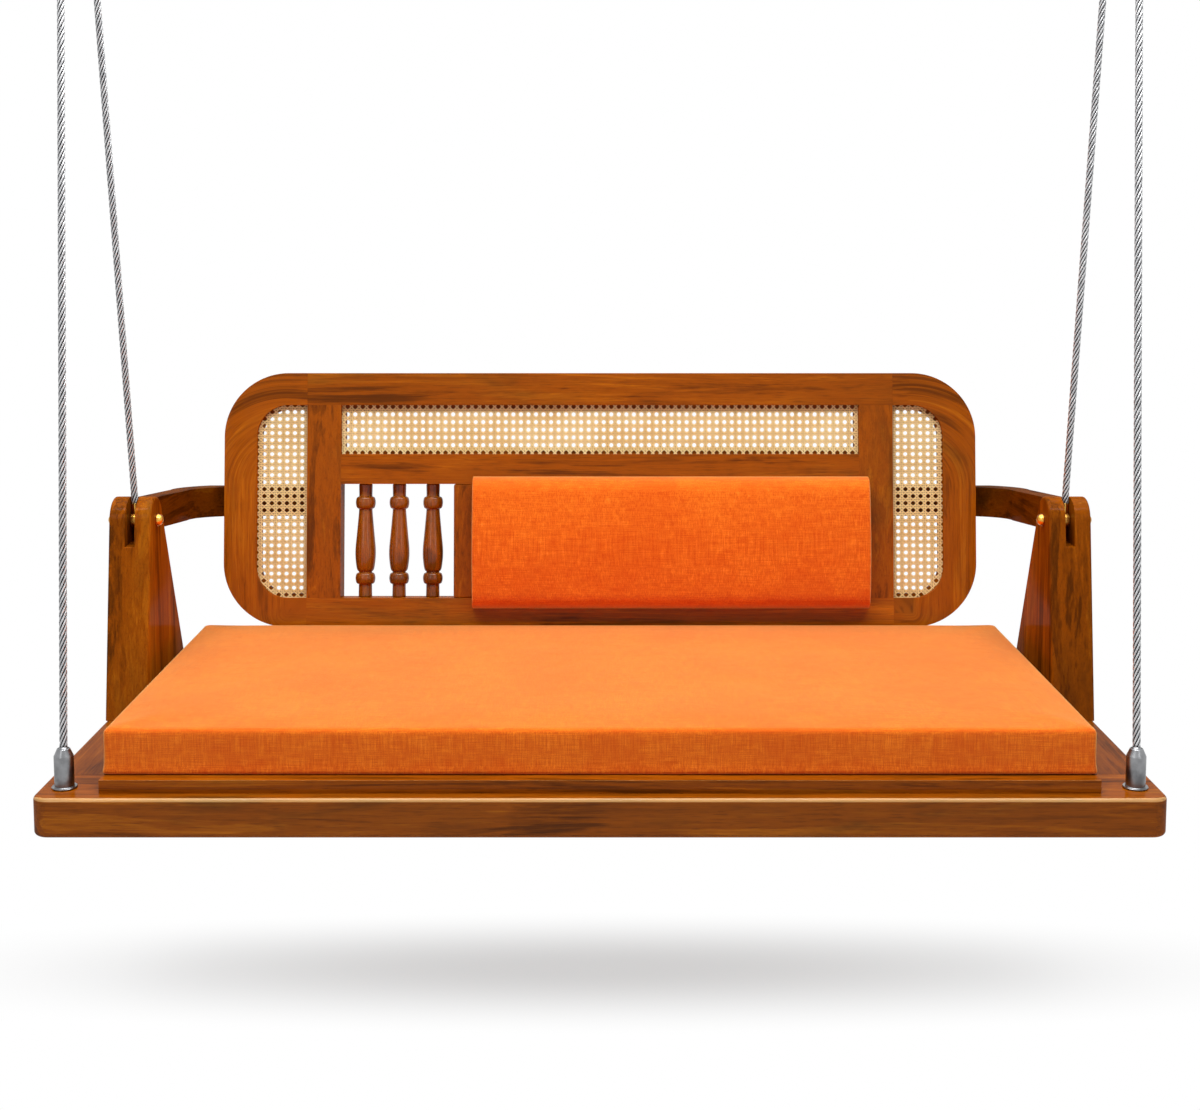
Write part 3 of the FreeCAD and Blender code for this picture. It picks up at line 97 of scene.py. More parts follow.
# %% Wrap a node's output
class Out:
    """One output of a finish's nodes, which can be added, multiplied and passed on."""

    def __init__(self, socket):
        self.socket = socket

    def node(self, kind, settings=None, inputs=None, output=0):
        tree = self.socket.id_data
        made = tree.nodes.new(kind)
        for key, value in (settings or {}).items():
            setattr(made, key, value)
        for key, value in (inputs or {}).items():
            feed(made.inputs[key], value)
        return Out(made.outputs[output])

    def math(self, operation, first, second=0.0):
        return self.node("ShaderNodeMath", {"operation": operation}, {0: first, 1: second})

    def __add__(self, other):
        return self.math("ADD", self, other)

    def __radd__(self, other):
        return self.math("ADD", other, self)

    def __sub__(self, other):
        return self.math("SUBTRACT", self, other)

    def __rsub__(self, other):
        return self.math("SUBTRACT", other, self)

    def __mul__(self, other):
        return self.math("MULTIPLY", self, other)

    def __rmul__(self, other):
        return self.math("MULTIPLY", other, self)

    def __truediv__(self, other):
        return self.math("DIVIDE", self, other)

    def __rtruediv__(self, other):
        return self.math("DIVIDE", other, self)

    def __pow__(self, other):
        return self.math("POWER", self, other)

    def over(self, low, high):
        """0 below low, 1 above high, and a smooth step between them."""
        return self.node("ShaderNodeMapRange", {"interpolation_type": "SMOOTHSTEP"}, {0: self, 1: low, 2: high})


def feed(socket, value):
    if isinstance(value, Out):
        socket.id_data.links.new(value.socket, socket)
    else:
        socket.default_value = value


def srgb(red, green, blue):
    """A colour as a paint chart gives it, 0 to 255, turned into the light that Blender mixes."""
    parts = [c / 255.0 for c in (red, green, blue)]
    return (*(c / 12.92 if c <= 0.04045 else ((c + 0.055) / 1.055) ** 2.4 for c in parts), 1.0)


print("a finish is written with", Out.__name__, "and", feed.__name__)


# %% Start a finish, and the steps that several finishes share
def new_finish(name):
    """A material, its shader and the place on the piece, as the CAD frame measures it."""
    material = bpy.data.materials.new(name)
    material.use_nodes = True
    tree = material.node_tree
    shader = tree.nodes["Principled BSDF"]
    place = Out(tree.nodes.new("ShaderNodeTexCoord").outputs["Object"])
    return material, shader.inputs, place


def stretched(place, scale, shift=0.0):
    inputs = {"Vector": place, "Location": (shift, shift * 1.7, shift * 2.3), "Scale": scale}
    return place.node("ShaderNodeMapping", None, inputs)


def noise(place, scale=1.0, detail=3.0, roughness=0.5, distortion=0.0):
    inputs = {"Vector": place, "Scale": scale, "Detail": detail, "Roughness": roughness, "Distortion": distortion}
    return place.node("ShaderNodeTexNoise", None, inputs, "Fac")


def blend(share, first, second, way="MIX"):
    settings = {"data_type": "RGBA", "blend_type": way}
    return share.node("ShaderNodeMix", settings, {0: share, 6: first, 7: second}, 2)


def bumped(height, strength, distance):
    return height.node("ShaderNodeBump", None, {"Height": height, "Strength": strength, "Distance": distance})


print("shared steps: place, stretch, noise, blend and bump")

# %% [markdown]
# ## The steel of the ropes
# A wire rope is six strands laid round a core, and each strand is laid from thin wires. The strands are modelled,
# because they make the rope's outline. The wires are too thin for that, so they are lines in the finish. They run
# round each strand, so the mesh carries an attribute with the angle round the strand and the height along it.


# %% Mix the rope's steel
def wire_steel():
    material, shader, place = new_finish("rope_steel")
    turn = place.node("ShaderNodeAttribute", {"attribute_name": "round_strand"}, None, "Vector")
    split = turn.node("ShaderNodeSeparateXYZ", None, {0: turn})
    along = Out(split.socket.node.outputs[2])
    side = Out(split.socket.node.outputs[1])
    angle = side.math("ARCTAN2", side, split)
    wires = angle.math("SINE", angle * 7.0 + along * 420.0)
    cloud = noise(place, 60.0, 4.0, 0.6)
    # Away from the outside of each strand, toward the core, the steel is painted near black: painted shade in the
    # crevices between the strands.
    outside = split.over(0.0003, 0.0015)
    tone = blend(cloud.over(0.35, 0.7), srgb(206, 207, 209), srgb(236, 237, 238))
    tone = blend(wires.over(-0.9, -0.1), srgb(120, 120, 123), tone)
    feed(shader["Base Color"], blend(outside, srgb(24, 24, 26), tone))
    feed(shader["Metallic"], 0.55)
    feed(shader["Roughness"], cloud * 0.16 + 0.26)
    feed(shader["Normal"], bumped(wires, 0.5, 0.0002))
    return material


rope_steel = wire_steel()
print("finish:", rope_steel.name)

# %% [markdown]
# ## Four wire ropes
# Each rope is pulled straight by the seat's weight, from its fitting below to the ceiling bracket above. Its line
# is one smooth spline. A strand is a circle that the spin operator turns round that line while it climbs, so that
# one call makes the whole helix, and the other five strands are copies turned by a sixth of a round.

# %% Read the line of a rope from its spline
rope_thick = 0.0108
strand_radius = 0.0018
strand_lay = 0.058
# The middle of each fitting below, the pin above, and how much of the line the two fittings take
rope_lines = {
    "front": ((0.7165, -0.3043, -1.149), (0.755, -0.0769, -0.034), 0.0054, 0.062),
    "rear": ((0.718, 0.0877, -0.9058), (0.755, 0.0769, -0.034), 0.026, 0.062),
}


def spline_points(name, places):
    curve = bpy.data.curves.new(name, "CURVE")
    curve.dimensions = "3D"
    spline = curve.splines.new("NURBS")
    spline.points.add(len(places) - 1)
    for point, place in zip(spline.points, places):
        point.co = (*place, 1.0)
    spline.order_u = 3
    spline.use_endpoint_u = True
    holder = bpy.data.objects.new(name, curve)
    line = bpy.data.meshes.new_from_object(holder)
    points = [vertex.co.copy() for vertex in line.vertices]
    bpy.data.objects.remove(holder)
    bpy.data.curves.remove(curve)
    bpy.data.meshes.remove(line)
    return points


print(len(rope_lines) * 2, "ropes,", rope_thick, "m thick")


# %% Lay the strands
def new_piece(name, bm, *finishes):
    mesh = bpy.data.meshes.new(name)
    bm.to_mesh(mesh)
    bm.free()
    piece = bpy.data.objects.new(name, mesh)
    scene.collection.objects.link(piece)
    for finish in finishes:
        mesh.materials.append(finish)
    return piece


def lay_rope(name, low, high):
    """Six strands round a core, on the line that the rope's spline gives."""
    points = spline_points(name, (low, (low + high) / 2, high))
    way = points[-1] - points[0]
    steps = round(way.length / strand_lay * 14)
    orbit = rope_thick / 2 - strand_radius
    bm = bmesh.new()
    bmesh.ops.create_circle(bm, radius=strand_radius, segments=8, matrix=Matrix.Translation((orbit, 0, 0)))
    start = list(bm.verts) + list(bm.edges)
    climb = Vector((0, 0, way.length / steps))
    turn = math.tau * way.length / strand_lay
    bmesh.ops.spin(bm, geom=start, cent=(0, 0, 0), axis=(0, 0, 1), dvec=climb, angle=turn, steps=steps)
    bmesh.ops.holes_fill(bm, edges=[edge for edge in bm.edges if edge.is_boundary])
    strand = list(bm.verts) + list(bm.edges) + list(bm.faces)
    for sixth in range(1, 6):
        copied = bmesh.ops.duplicate(bm, geom=strand)["geom"]
        spun = [part for part in copied if isinstance(part, bmesh.types.BMVert)]
        bmesh.ops.rotate(bm, verts=spun, cent=(0, 0, 0), matrix=Matrix.Rotation(math.tau * sixth / 6, 3, "Z"))
    core = {"segments": 8, "radius1": orbit * 0.6, "radius2": orbit * 0.6, "depth": way.length}
    bmesh.ops.create_cone(bm, cap_ends=True, matrix=Matrix.Translation((0, 0, way.length / 2)), **core)
    bmesh.ops.recalc_face_normals(bm, faces=bm.faces)
    turns = []
    for vertex in bm.verts:
        at = math.tau * vertex.co.z / strand_lay
        angle = math.atan2(vertex.co.y, vertex.co.x) - at
        middle = round(angle / (math.tau / 6)) * math.tau / 6 + at
        out = Vector((math.cos(middle), math.sin(middle)))
        away = vertex.co.xy - out * orbit
        turns.append((away.dot(out), away.dot(Vector((-out.y, out.x))), vertex.co.z))
    place = Matrix.Translation(points[0]) @ way.to_track_quat("Z", "Y").to_matrix().to_4x4()
    bmesh.ops.transform(bm, matrix=place, verts=bm.verts)
    for face in bm.faces:
        face.smooth = True
    piece = new_piece(name, bm, rope_steel)
    data = piece.data.attributes.new("round_strand", "FLOAT_VECTOR", "POINT").data
    data.foreach_set("vector", [part for turn in turns for part in turn])
    return piece, points


for tag, (low, high, below, above) in rope_lines.items():
    for side, sign in (("right", 1), ("left", -1)):
        foot = Vector((low[0] * sign, low[1], low[2]))
        head = Vector((high[0] * sign, high[1], high[2]))
        way = (head - foot).normalized()
        rope, points = lay_rope(f"wire_rope_{tag}_{side}", foot + way * below, head - way * above)
        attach(rope, f"{tag}_ropes")
        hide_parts(f"rope_{tag}_{side}")

# %% [markdown]
# ## Teak
# The wood is teak under a clear lacquer: orange-brown, with long dark streaks, smoky patches and short open pores.
# A picture of wood would stretch and repeat. Noise that is drawn out along the grain does not, and each piece gets
# its own stretch of it, so that no two rails look sawn from the same spot. The lacquer is the shader's coat.


# %% Mix the teak
def round_the_bow(place):
    """Along, across and through a bent end of the back, so that its grain follows the bend."""
    turn = {"Vector": place, "Location": (0.0, 0.1420, 1.1577), "Rotation": (math.radians(8.0), 0.0, 0.0)}
    flat = place.node("ShaderNodeMapping", None, turn)
    x, y, z = (Out(flat.node("ShaderNodeSeparateXYZ", None, {0: flat}).socket.node.outputs[i]) for i in range(3))
    up = z - 0.2144
    out = x.math("ABSOLUTE", x) - 0.5275
    over = up.math("ABSOLUTE", up) - 0.1064
    past = out.math("MAXIMUM", out, 0.0)
    above = over.math("MAXIMUM", over, 0.0)
    across = past.math("SQRT", past * past + above * above)
    along = up + up.math("SIGN", up) * out.math("MAXIMUM", 0.0 - out, 0.0)
    return across.node("ShaderNodeCombineXYZ", None, {0: across + x * 0.02, 1: y, 2: along})


def teak(name, along, shift, tone=1.0, smoky=0.75, gloss=0.14):
    """Lacquered teak with its grain along the axis named, x, y or z, or round a bow."""
    material, shader, place = new_finish(name)
    if along == "bow":
        place, along = round_the_bow(place), "z"
    reach = {"x": (1.0, 0.0, 0.0), "y": (0.0, 1.0, 0.0), "z": (0.0, 0.0, 1.0)}[along]

    def drawn(long, across):
        return stretched(place, tuple(long if r else across for r in reach), shift)

    streak = noise(drawn(1.5, 26.0), 1.0, 8.0, 0.62, 0.9)
    smoke = noise(drawn(3.4, 13.0), 1.0, 4.0, 0.58, 0.8)
    patch = noise(drawn(1.3, 5.0), 1.0, 2.0, 0.5, 0.3)
    pores = noise(drawn(38.0, 1500.0), 1.0, 2.0, 0.5).over(0.56, 0.68)
    fine = noise(drawn(9.0, 330.0), 1.0, 5.0, 0.6)
    rings = streak.math("SINE", streak * 46.0 + patch * 9.0)
    figure = streak * 0.5 + smoke * 0.3 + fine * 0.2 + rings * 0.022
    gold, amber, umber, soot = (
        tuple(c * tone for c in srgb(*chip)[:3]) + (1.0,)
        for chip in ((192, 108, 16), (152, 76, 6), (98, 48, 4), (44, 26, 8))
    )
    wood = blend(figure.over(0.38, 0.51), umber, amber)
    wood = blend(figure.over(0.50, 0.64), wood, gold)
    wood = blend((smoke * 0.5 + patch * 0.25 + streak * 0.25).over(0.50, 0.66) * smoky, wood, soot)
    painted_edge_highlight = place.node("ShaderNodeAttribute", {"attribute_name": "painted_edge_highlight"}, None, "Fac")
    wood = blend(pores * 0.4, wood, soot)
    # A painted highlight makes the edges that look up and forward paler and gives them more coat.
    feed(shader["Base Color"], blend(painted_edge_highlight * (0.4 + fine * 0.5), wood, srgb(244, 196, 124)))
    feed(shader["Roughness"], fine * 0.12 + 0.2)
    feed(shader["Specular IOR Level"], 0.0)
    feed(shader["Coat Weight"], painted_edge_highlight * 0.4 + gloss)
    feed(shader["Coat Roughness"], 0.12)
    feed(shader["Normal"], bumped(fine - pores * 0.8, 0.12, 0.0006))
    return material


# The way that the grain runs in each piece, and its tone. A tone is partly the board's own and partly painted
# shade: the arm rails and the base rails are darker for the shade that falls on them.
grain_of = {
    "base_front_rail": ("x", 0.85),
    "base_rear_rail": ("x", 0.6),
    "base_left_rail": ("y", 0.6),
    "base_right_rail": ("y", 0.6),
    "seat_board": ("x", 1.0),
    "arm_post_left": ("z", 0.86),
    "arm_post_right": ("z", 0.82),
    "arm_rail_left": ("y", 0.4),
    "arm_rail_right": ("y", 0.4),
    "back_top_rail": ("x", 0.86),
    "back_middle_rail": ("x", 0.96),
    "back_bottom_rail": ("x", 1.2),
    "back_stile_left": ("z", 1.04),
    "back_stile_right": ("z", 1.0),
    "back_short_stile": ("z", 0.9),
    "back_end_left": ("bow", 1.05),
    "back_end_right": ("bow", 1.02),
    "back_feet": ("z", 0.8),
    "cane_beads": ("x", 0.7),
}
teaks = {}
for number, (name, (along, tone)) in enumerate(grain_of.items()):
    gloss = {"arm": 0.05, "bas": 0.2}.get(name[:3], 0.14)
    teaks[name] = teak(f"teak_{name}", along, 0.61 + number * 1.37, tone, gloss=gloss)
print(len(teaks), "stretches of teak")

# %% [markdown]
# ## Easing the edges of the wood
# A joiner takes the sharp corner off every board, and that thin rounded edge is what catches the light. The solids
# could be shown with a live Bevel modifier, but their meshes are loose triangles. A copy is merged, its flat
# triangles are joined into whole faces, and then only the true corners are bevelled. On the edges that look up and
# forward a highlight is painted: their corners carry a mark that makes the finish paler and glossier there.


# %% Ease a solid's corners
def eased(name, width, finish, edge_highlight, corner=34.0):
    bm = bmesh.new()
    bm.from_mesh(nodes[name].data)
    painted_edge_highlight = bm.loops.layers.float.new("painted_edge_highlight")
    bmesh.ops.remove_doubles(bm, verts=bm.verts, dist=0.00001)
    bmesh.ops.dissolve_limit(bm, angle_limit=math.radians(0.4), verts=bm.verts, edges=bm.edges)
    sharp = [edge for edge in bm.edges if edge.is_manifold and edge.calc_face_angle() > math.radians(corner)]
    if width:
        how = {"segments": 2, "profile": 0.5, "affect": "EDGES", "material": -1, "clamp_overlap": True}
        bmesh.ops.bevel(bm, geom=sharp, offset=width, offset_type="OFFSET", **how)
    bm.normal_update()
    for face in bm.faces:
        face.smooth = True
        for loop in face.loops:
            # Faces that look up and forward carry the painted highlight.
            loop[painted_edge_highlight] = edge_highlight if face.normal.z > 0.3 and face.normal.y < -0.3 else 0.0
    for edge in bm.edges:
        edge.smooth = not edge.is_manifold or edge.calc_face_angle() < math.radians(corner)
    piece = new_piece(f"{name}_eased", bm, finish)
    flat = piece.modifiers.new("flat", "WEIGHTED_NORMAL")
    flat.keep_sharp = True
    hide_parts(name)
    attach(piece, "seat")
    return piece


ease_of = {name: 0.003 for name in grain_of}
ease_of.update({"cane_beads": 0.001, "back_feet": 0.0015, "seat_board": 0.0025})
# How strongly a highlight is painted on the free edges, where no other board butts against them
edge_highlight_of = {"base_front_rail": 0.6, "seat_board": 1.0, "back_top_rail": 0.4, "back_middle_rail": 0.4}
edge_highlight_of.update({"back_end_left": 0.4, "back_end_right": 0.4})
for name in grain_of:
    piece = eased(name, ease_of[name], teaks[name], edge_highlight_of.get(name, 0.0))
    print(piece.name, len(piece.data.polygons), "faces")

# %% [markdown]
# ## The leaning back
# Everything in the backrest stands in one plane that leans eight degrees. It is easiest to lay a piece out flat,
# as it would lie on the bench, with x to the right and y up the back, and then lean it with one matrix.

# %% Set the plane of the back
lean = math.radians(8.0)
back_low, back_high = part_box("back_bottom_rail")
lean_up = Vector((0, math.sin(lean), math.cos(lean)))
lean_out = Vector((0, -math.cos(lean), math.sin(lean)))
back_foot = Vector((0, 0.3021, -1.1266))
on_back = Matrix((
    (1, 0, 0, back_foot.x),
    (0, lean_up.y, lean_out.y, back_foot.y),
    (0, lean_up.z, lean_out.z, back_foot.z),
    (0, 0, 0, 1),
))
print("the back leans", round(math.degrees(lean)), "degrees from", [round(c, 4) for c in back_foot])

# %% [markdown]
# ## Turned spindles
# Three small balusters fill the gap beside the pad. They are turned on a lathe, and the spin operator is a lathe:
# a profile of a few points is spun once round, and a subdivision surface rounds the beads and the belly.

# %% Turn the spindles
spindle_profile = (
    (0.0, 0.0), (11.7, 0.0), (11.7, 0.01), (11.5, 0.06), (11.3, 0.108), (11.5, 0.117), (15.0, 0.119), (16.4, 0.138),
    (17.4, 0.168), (16.4, 0.196), (15.0, 0.213), (11.4, 0.217), (11.0, 0.223), (12.2, 0.229), (14.6, 0.238),
    (16.3, 0.290), (17.5, 0.350), (17.7, 0.397), (17.3, 0.450), (15.8, 0.520), (14.0, 0.620), (12.2, 0.720),
    (11.4, 0.772), (11.6, 0.780), (15.0, 0.784), (16.4, 0.804), (17.4, 0.836), (16.4, 0.868), (15.0, 0.884),
    (11.6, 0.888), (11.2, 0.896), (11.5, 0.94), (11.7, 0.99), (11.7, 1.0), (0.0, 1.0),
)
spindle_foot, spindle_long = 0.0487, 0.1922
spindle_finish = teak("teak_spindles", "z", 31.7, 0.85, gloss=0.6)


def lathe(points, axis, steps, place):
    """Turn a profile of (radius, height) in metres about its axis, and put it in its place."""
    bm = bmesh.new()
    corners = [bm.verts.new(Vector((radius, 0, 0)) + Vector(axis) * high) for radius, high in points]
    profile = [bm.edges.new(pair) for pair in zip(corners, corners[1:])]
    how = {"cent": (0, 0, 0), "axis": axis, "angle": math.tau, "steps": steps, "use_merge": True}
    bmesh.ops.spin(bm, geom=corners + profile, **how)
    bmesh.ops.remove_doubles(bm, verts=bm.verts, dist=0.00001)
    bmesh.ops.recalc_face_normals(bm, faces=bm.faces)
    bmesh.ops.transform(bm, matrix=place, verts=bm.verts)
    for face in bm.faces:
        face.smooth = True
    return bm


for tag, across in (("left", -0.3990), ("middle", -0.3417), ("right", -0.2844)):
    points = [(radius * 0.001, high * spindle_long) for radius, high in spindle_profile]
    bm = lathe(points, (0, 1, 0), 20, on_back @ Matrix.Translation((across, spindle_foot, -0.0225)))
    spindle = new_piece(f"turned_spindle_{tag}", bm, spindle_finish)
    rounded = spindle.modifiers.new("rounded", "SUBSURF")
    rounded.levels = rounded.render_levels = 2
    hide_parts(f"spindle_{tag}")
    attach(spindle, "seat")
    print(spindle.name, "has", len(spindle_profile), "points in its profile")

# %% [markdown]
# ## Cane
# The panels are woven from split cane: pairs of strands upright and across, and single strands on both diagonals,
# which leave a grid of eight-sided holes. A pattern with transparent holes would look flat from close by, so the
# strands are real strips. They are laid out flat, cut to the panel's outline and then given their thickness.

# %% Mix the cane
def cane_finish():
    material, shader, place = new_finish("cane")
    fibre = noise(place, 900.0, 3.0, 0.6)
    patch = noise(place, 14.0, 3.0, 0.55)
    edge = place.node("ShaderNodeAttribute", {"attribute_name": "painted_strand_shade"}, None, "Fac")
    straw = blend(patch.over(0.35, 0.68), srgb(248, 221, 158), srgb(236, 201, 132))
    straw = blend(fibre.over(0.55, 0.75) * 0.4, straw, srgb(186, 140, 76))
    # The strands are painted dark brown toward their edges: painted shade between and under them.
    feed(shader["Base Color"], blend(edge.over(0.5, 1.0) * 0.9, straw, srgb(96, 56, 18)))
    feed(shader["Roughness"], patch * 0.2 + 0.36)
    feed(shader["Normal"], bumped(fibre, 0.2, 0.0003))
    return material


straw = cane_finish()
print("finish:", straw.name)


# %% Weave a panel
cane_pitch = 0.0128
strand_wide = 0.0025
pair_apart = 0.0016
strand_deep = 0.0004


def strip(bm, middle, long, wide, angle, layer, step=0.0043, dark=0.0):
    """One strand of cane, rounded on its shiny side, in short pieces, so that it can be cut and bent."""
    pieces = max(2, round(long / step))
    flat = Matrix.Diagonal((long / 2, wide / 2, 1, 1))
    place = Matrix.Translation((*middle, layer)) @ Matrix.Rotation(angle, 4, "Z")
    made = bmesh.ops.create_grid(bm, x_segments=pieces, y_segments=2, size=1.0, matrix=flat)["verts"]
    ridge = [vertex for vertex in made if abs(vertex.co.y) < wide / 8]
    bmesh.ops.translate(bm, verts=ridge, vec=(0, 0, 0.0004))
    # Toward its edges the strand is marked for painted shade; with dark at 1 it is marked all over.
    edge = bm.verts.layers.float["painted_strand_shade"]
    for vertex in made:
        vertex[edge] = max(dark, abs(vertex.co.y) / (wide / 2))
    bmesh.ops.transform(bm, verts=made, matrix=place)


def weave(name, left, right, low, high, inside, squat):
    """A panel of cane between these edges; squat is how much lower than wide its cells are."""
    bm = bmesh.new()
    bm.verts.layers.float.new("painted_strand_shade")
    low, high = low / squat, high / squat
    middle = Vector(((left + right) / 2, (low + high) / 2))
    wide, tall = right - left, high - low
    columns = range(math.floor(left / cane_pitch), math.ceil(right / cane_pitch) + 1)
    rows = range(math.floor(low / cane_pitch), math.ceil(high / cane_pitch) + 1)
    for column in columns:
        for pair in (-1, 1):
            at = column * cane_pitch + pair * pair_apart
            strip(bm, (at, middle.y), tall, strand_wide, math.pi / 2, -0.0004 + 0.0003 * pair)
        # Behind each upright pair lies a narrow strip painted dark all over: a painted shadow in the gap between the
        # pair.
        strip(bm, (column * cane_pitch, middle.y), tall, pair_apart, math.pi / 2, -0.0016, cane_pitch, 1.0)
    for row in rows:
        for pair in (-1, 1):
            at = row * cane_pitch + pair * pair_apart
            strip(bm, (middle.x, at), wide, strand_wide, 0.0, 0.0002 * pair)
        # Behind each pair across lies a narrow dark strip too: a painted shadow in its gap.
        strip(bm, (middle.x, row * cane_pitch), wide, pair_apart, 0.0, -0.0014, cane_pitch, 1.0)
    for lean_way, layer in ((1, 0.0003), (-1, 0.0006)):
        shift = middle.y * lean_way / cane_pitch
        first = math.floor((left - tall / 2) / cane_pitch - shift)
        last = math.ceil((right + tall / 2) / cane_pitch - shift)
        for column in range(first, last):
            centre = ((column + 0.5 + shift) * cane_pitch, middle.y)
            strip(bm, centre, tall * math.sqrt(2), strand_wide, lean_way * math.pi / 4, layer)
    bmesh.ops.scale(bm, verts=bm.verts, vec=(1, squat, 1))
    outside = [face for face in bm.faces if not inside(*face.calc_center_median().xy)]
    bmesh.ops.delete(bm, geom=outside, context="FACES")
    for vertex in bm.verts:
        ripple = math.sin(math.tau * vertex.co.x / cane_pitch) * math.sin(math.tau * vertex.co.y / cane_pitch)
        vertex.co.z += 0.0002 * ripple
    bmesh.ops.solidify(bm, geom=bm.faces, thickness=strand_deep)
    bmesh.ops.recalc_face_normals(bm, faces=bm.faces)
    bmesh.ops.transform(bm, matrix=on_back @ Matrix.Translation((0, 0, -0.0102)), verts=bm.verts)
    for face in bm.faces:
        face.smooth = True
    for edge in bm.edges:
        edge.smooth = not edge.is_manifold or edge.calc_face_angle() < math.radians(50.0)
    return new_piece(name, bm, straw)


print("strands", strand_wide, "m wide, holes every", cane_pitch, "m")

# %% Cut and hang the three panels
tuck = 0.0095
side_in, side_out, side_low, side_high = 0.4957, 0.5808, 0.0487, 0.3746
inner_round = 0.0533


def in_side_panel(x, y):
    u = abs(x)
    if not (side_in - tuck < u < side_out + tuck and side_low - tuck < y < side_high + tuck):
        return False
    corner = Vector((side_out - inner_round, side_high - inner_round if y > 0.2 else side_low + inner_round))
    away = Vector((u - corner.x, (y - corner.y) * (1 if y > 0.2 else -1)))
    return away.x < 0 or away.y < 0 or away.length < inner_round + tuck


def in_top_panel(x, y):
    return abs(x) < 0.4383 + tuck and 0.2917 - tuck < y < 0.3746 + tuck


panels = (
    ("cane_left", -side_out - tuck, -side_in + tuck, side_low - tuck, side_high + tuck, in_side_panel, 0.93),
    ("cane_right", side_in - tuck, side_out + tuck, side_low - tuck, side_high + tuck, in_side_panel, 0.93),
    ("cane_top", -0.4383 - tuck, 0.4383 + tuck, 0.2917 - tuck, 0.3746 + tuck, in_top_panel, 1.02),
)
for name, *edges in panels:
    panel = weave(f"woven_{name}", *edges)
    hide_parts(name)
    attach(panel, "seat")
    print(panel.name, len(panel.data.polygons), "faces")

# %% [markdown]
# ## Orange linen
# Seat and pad wear the same slubby linen: a plain weave of uneven threads, with a soft bloom where it is seen at
# a slant. The weave reads the place in all three directions, because the simulated mesh has no seams to unfold.


# %% Mix the linen
def linen(name, shift, leans=0.0, tone=1.0):
    """Slubby linen; leans is how far its face leans back, so that the threads follow the face."""
    material, shader, place = new_finish(name)
    place = place.node("ShaderNodeMapping", None, {"Vector": place, "Rotation": (leans, 0.0, 0.0)})
    across = noise(stretched(place, (30.0, 900.0, 900.0), shift), 1.0, 3.0, 0.6)
    back = noise(stretched(place, (900.0, 30.0, 900.0), shift), 1.0, 3.0, 0.6)
    up = noise(stretched(place, (900.0, 900.0, 30.0), shift), 1.0, 3.0, 0.6)
    weave_height = across * 0.3 + back * 0.3 + up * 0.4
    soft = noise(place, 7.0, 3.0, 0.5)
    cloth = blend(weave_height.over(0.4, 0.6), srgb(212, 78, 6), srgb(247, 129, 30))
    slub = weave_height.over(0.57, 0.66) * 0.5
    cloth = blend(slub, cloth, srgb(253, 156, 88))
    mottle = noise(place, 90.0, 3.0, 0.6)
    cloth = blend((soft * 0.5 + mottle * 0.5).over(0.4, 0.6) * 0.4, cloth, srgb(208, 68, 5))
    dye_and_shade = cloth.node("ShaderNodeVectorMath", {"operation": "SCALE"}, {0: cloth, "Scale": tone})
    feed(shader["Base Color"], dye_and_shade)
    feed(shader["Roughness"], weave_height * 0.2 + 0.75)
    feed(shader["Sheen Weight"], 1.0)
    feed(shader["Sheen Roughness"], 0.48)
    feed(shader["Sheen Tint"], srgb(255, 228, 150))
    feed(shader["Specular IOR Level"], 0.02)
    feed(shader["Normal"], bumped(weave_height * 1.2 + soft * 4.0, 0.35, 0.0024))
    return material


orange_linen = linen("orange_fabric", 0.7)
# The pad's linen is the seat's linen made darker by a tone of 0.93: painted shade for the stronger light on the
# leaning pad.
pad_linen = linen("orange_fabric_pad", 3.1, math.radians(8.0), 0.93)
print("finishes:", orange_linen.name, pad_linen.name)

# %% [markdown]
# ## Cushions filled by simulation
# A cushion is a bag that its filling pushes outwards. The bag is cut as a box, its skin is divided into even
# cells, and Blender's Cloth blows it up with an inner pressure. How far a point may move is capped, because firm
# foam keeps its box shape, and the side that lies on the wood is pinned flat.


# %% Cut a bag and blow it up
def soft_box(low, high, cell, rounds=()):
    """A box in even cells, the cut of the bag; rounds are the edges that the foam rounds, as (axis, width)."""
    bm = bmesh.new()
    low, high = Vector(low), Vector(high)
    size = high - low
    bmesh.ops.create_cube(bm, size=1.0, matrix=Matrix.Translation((low + high) / 2) @ Matrix.Diagonal((*size, 1)))
    how = {"profile": 0.5, "affect": "EDGES", "material": -1, "clamp_overlap": True}
    for axis, width, rises in rounds:
        along = Vector([float(number == axis) for number in range(3)])
        chosen = [
            edge for edge in bm.edges
            if abs((edge.verts[0].co - edge.verts[1].co).normalized().dot(along)) > 0.9
            and (edge.verts[0].co.z > low.z + size.z / 2 or not rises)
        ]
        bmesh.ops.bevel(bm, geom=chosen, offset=width, offset_type="OFFSET", segments=4, **how)
    for axis in range(3):
        cells = max(1, round(size[axis] / cell))
        facing = Vector([float(number == axis) for number in range(3)])
        for number in range(1, cells):
            parts = list(bm.verts) + list(bm.edges) + list(bm.faces)
            at = low + facing * size[axis] * number / cells
            bmesh.ops.bisect_plane(bm, geom=parts, dist=0.0002, plane_co=at, plane_no=facing)
    return bm


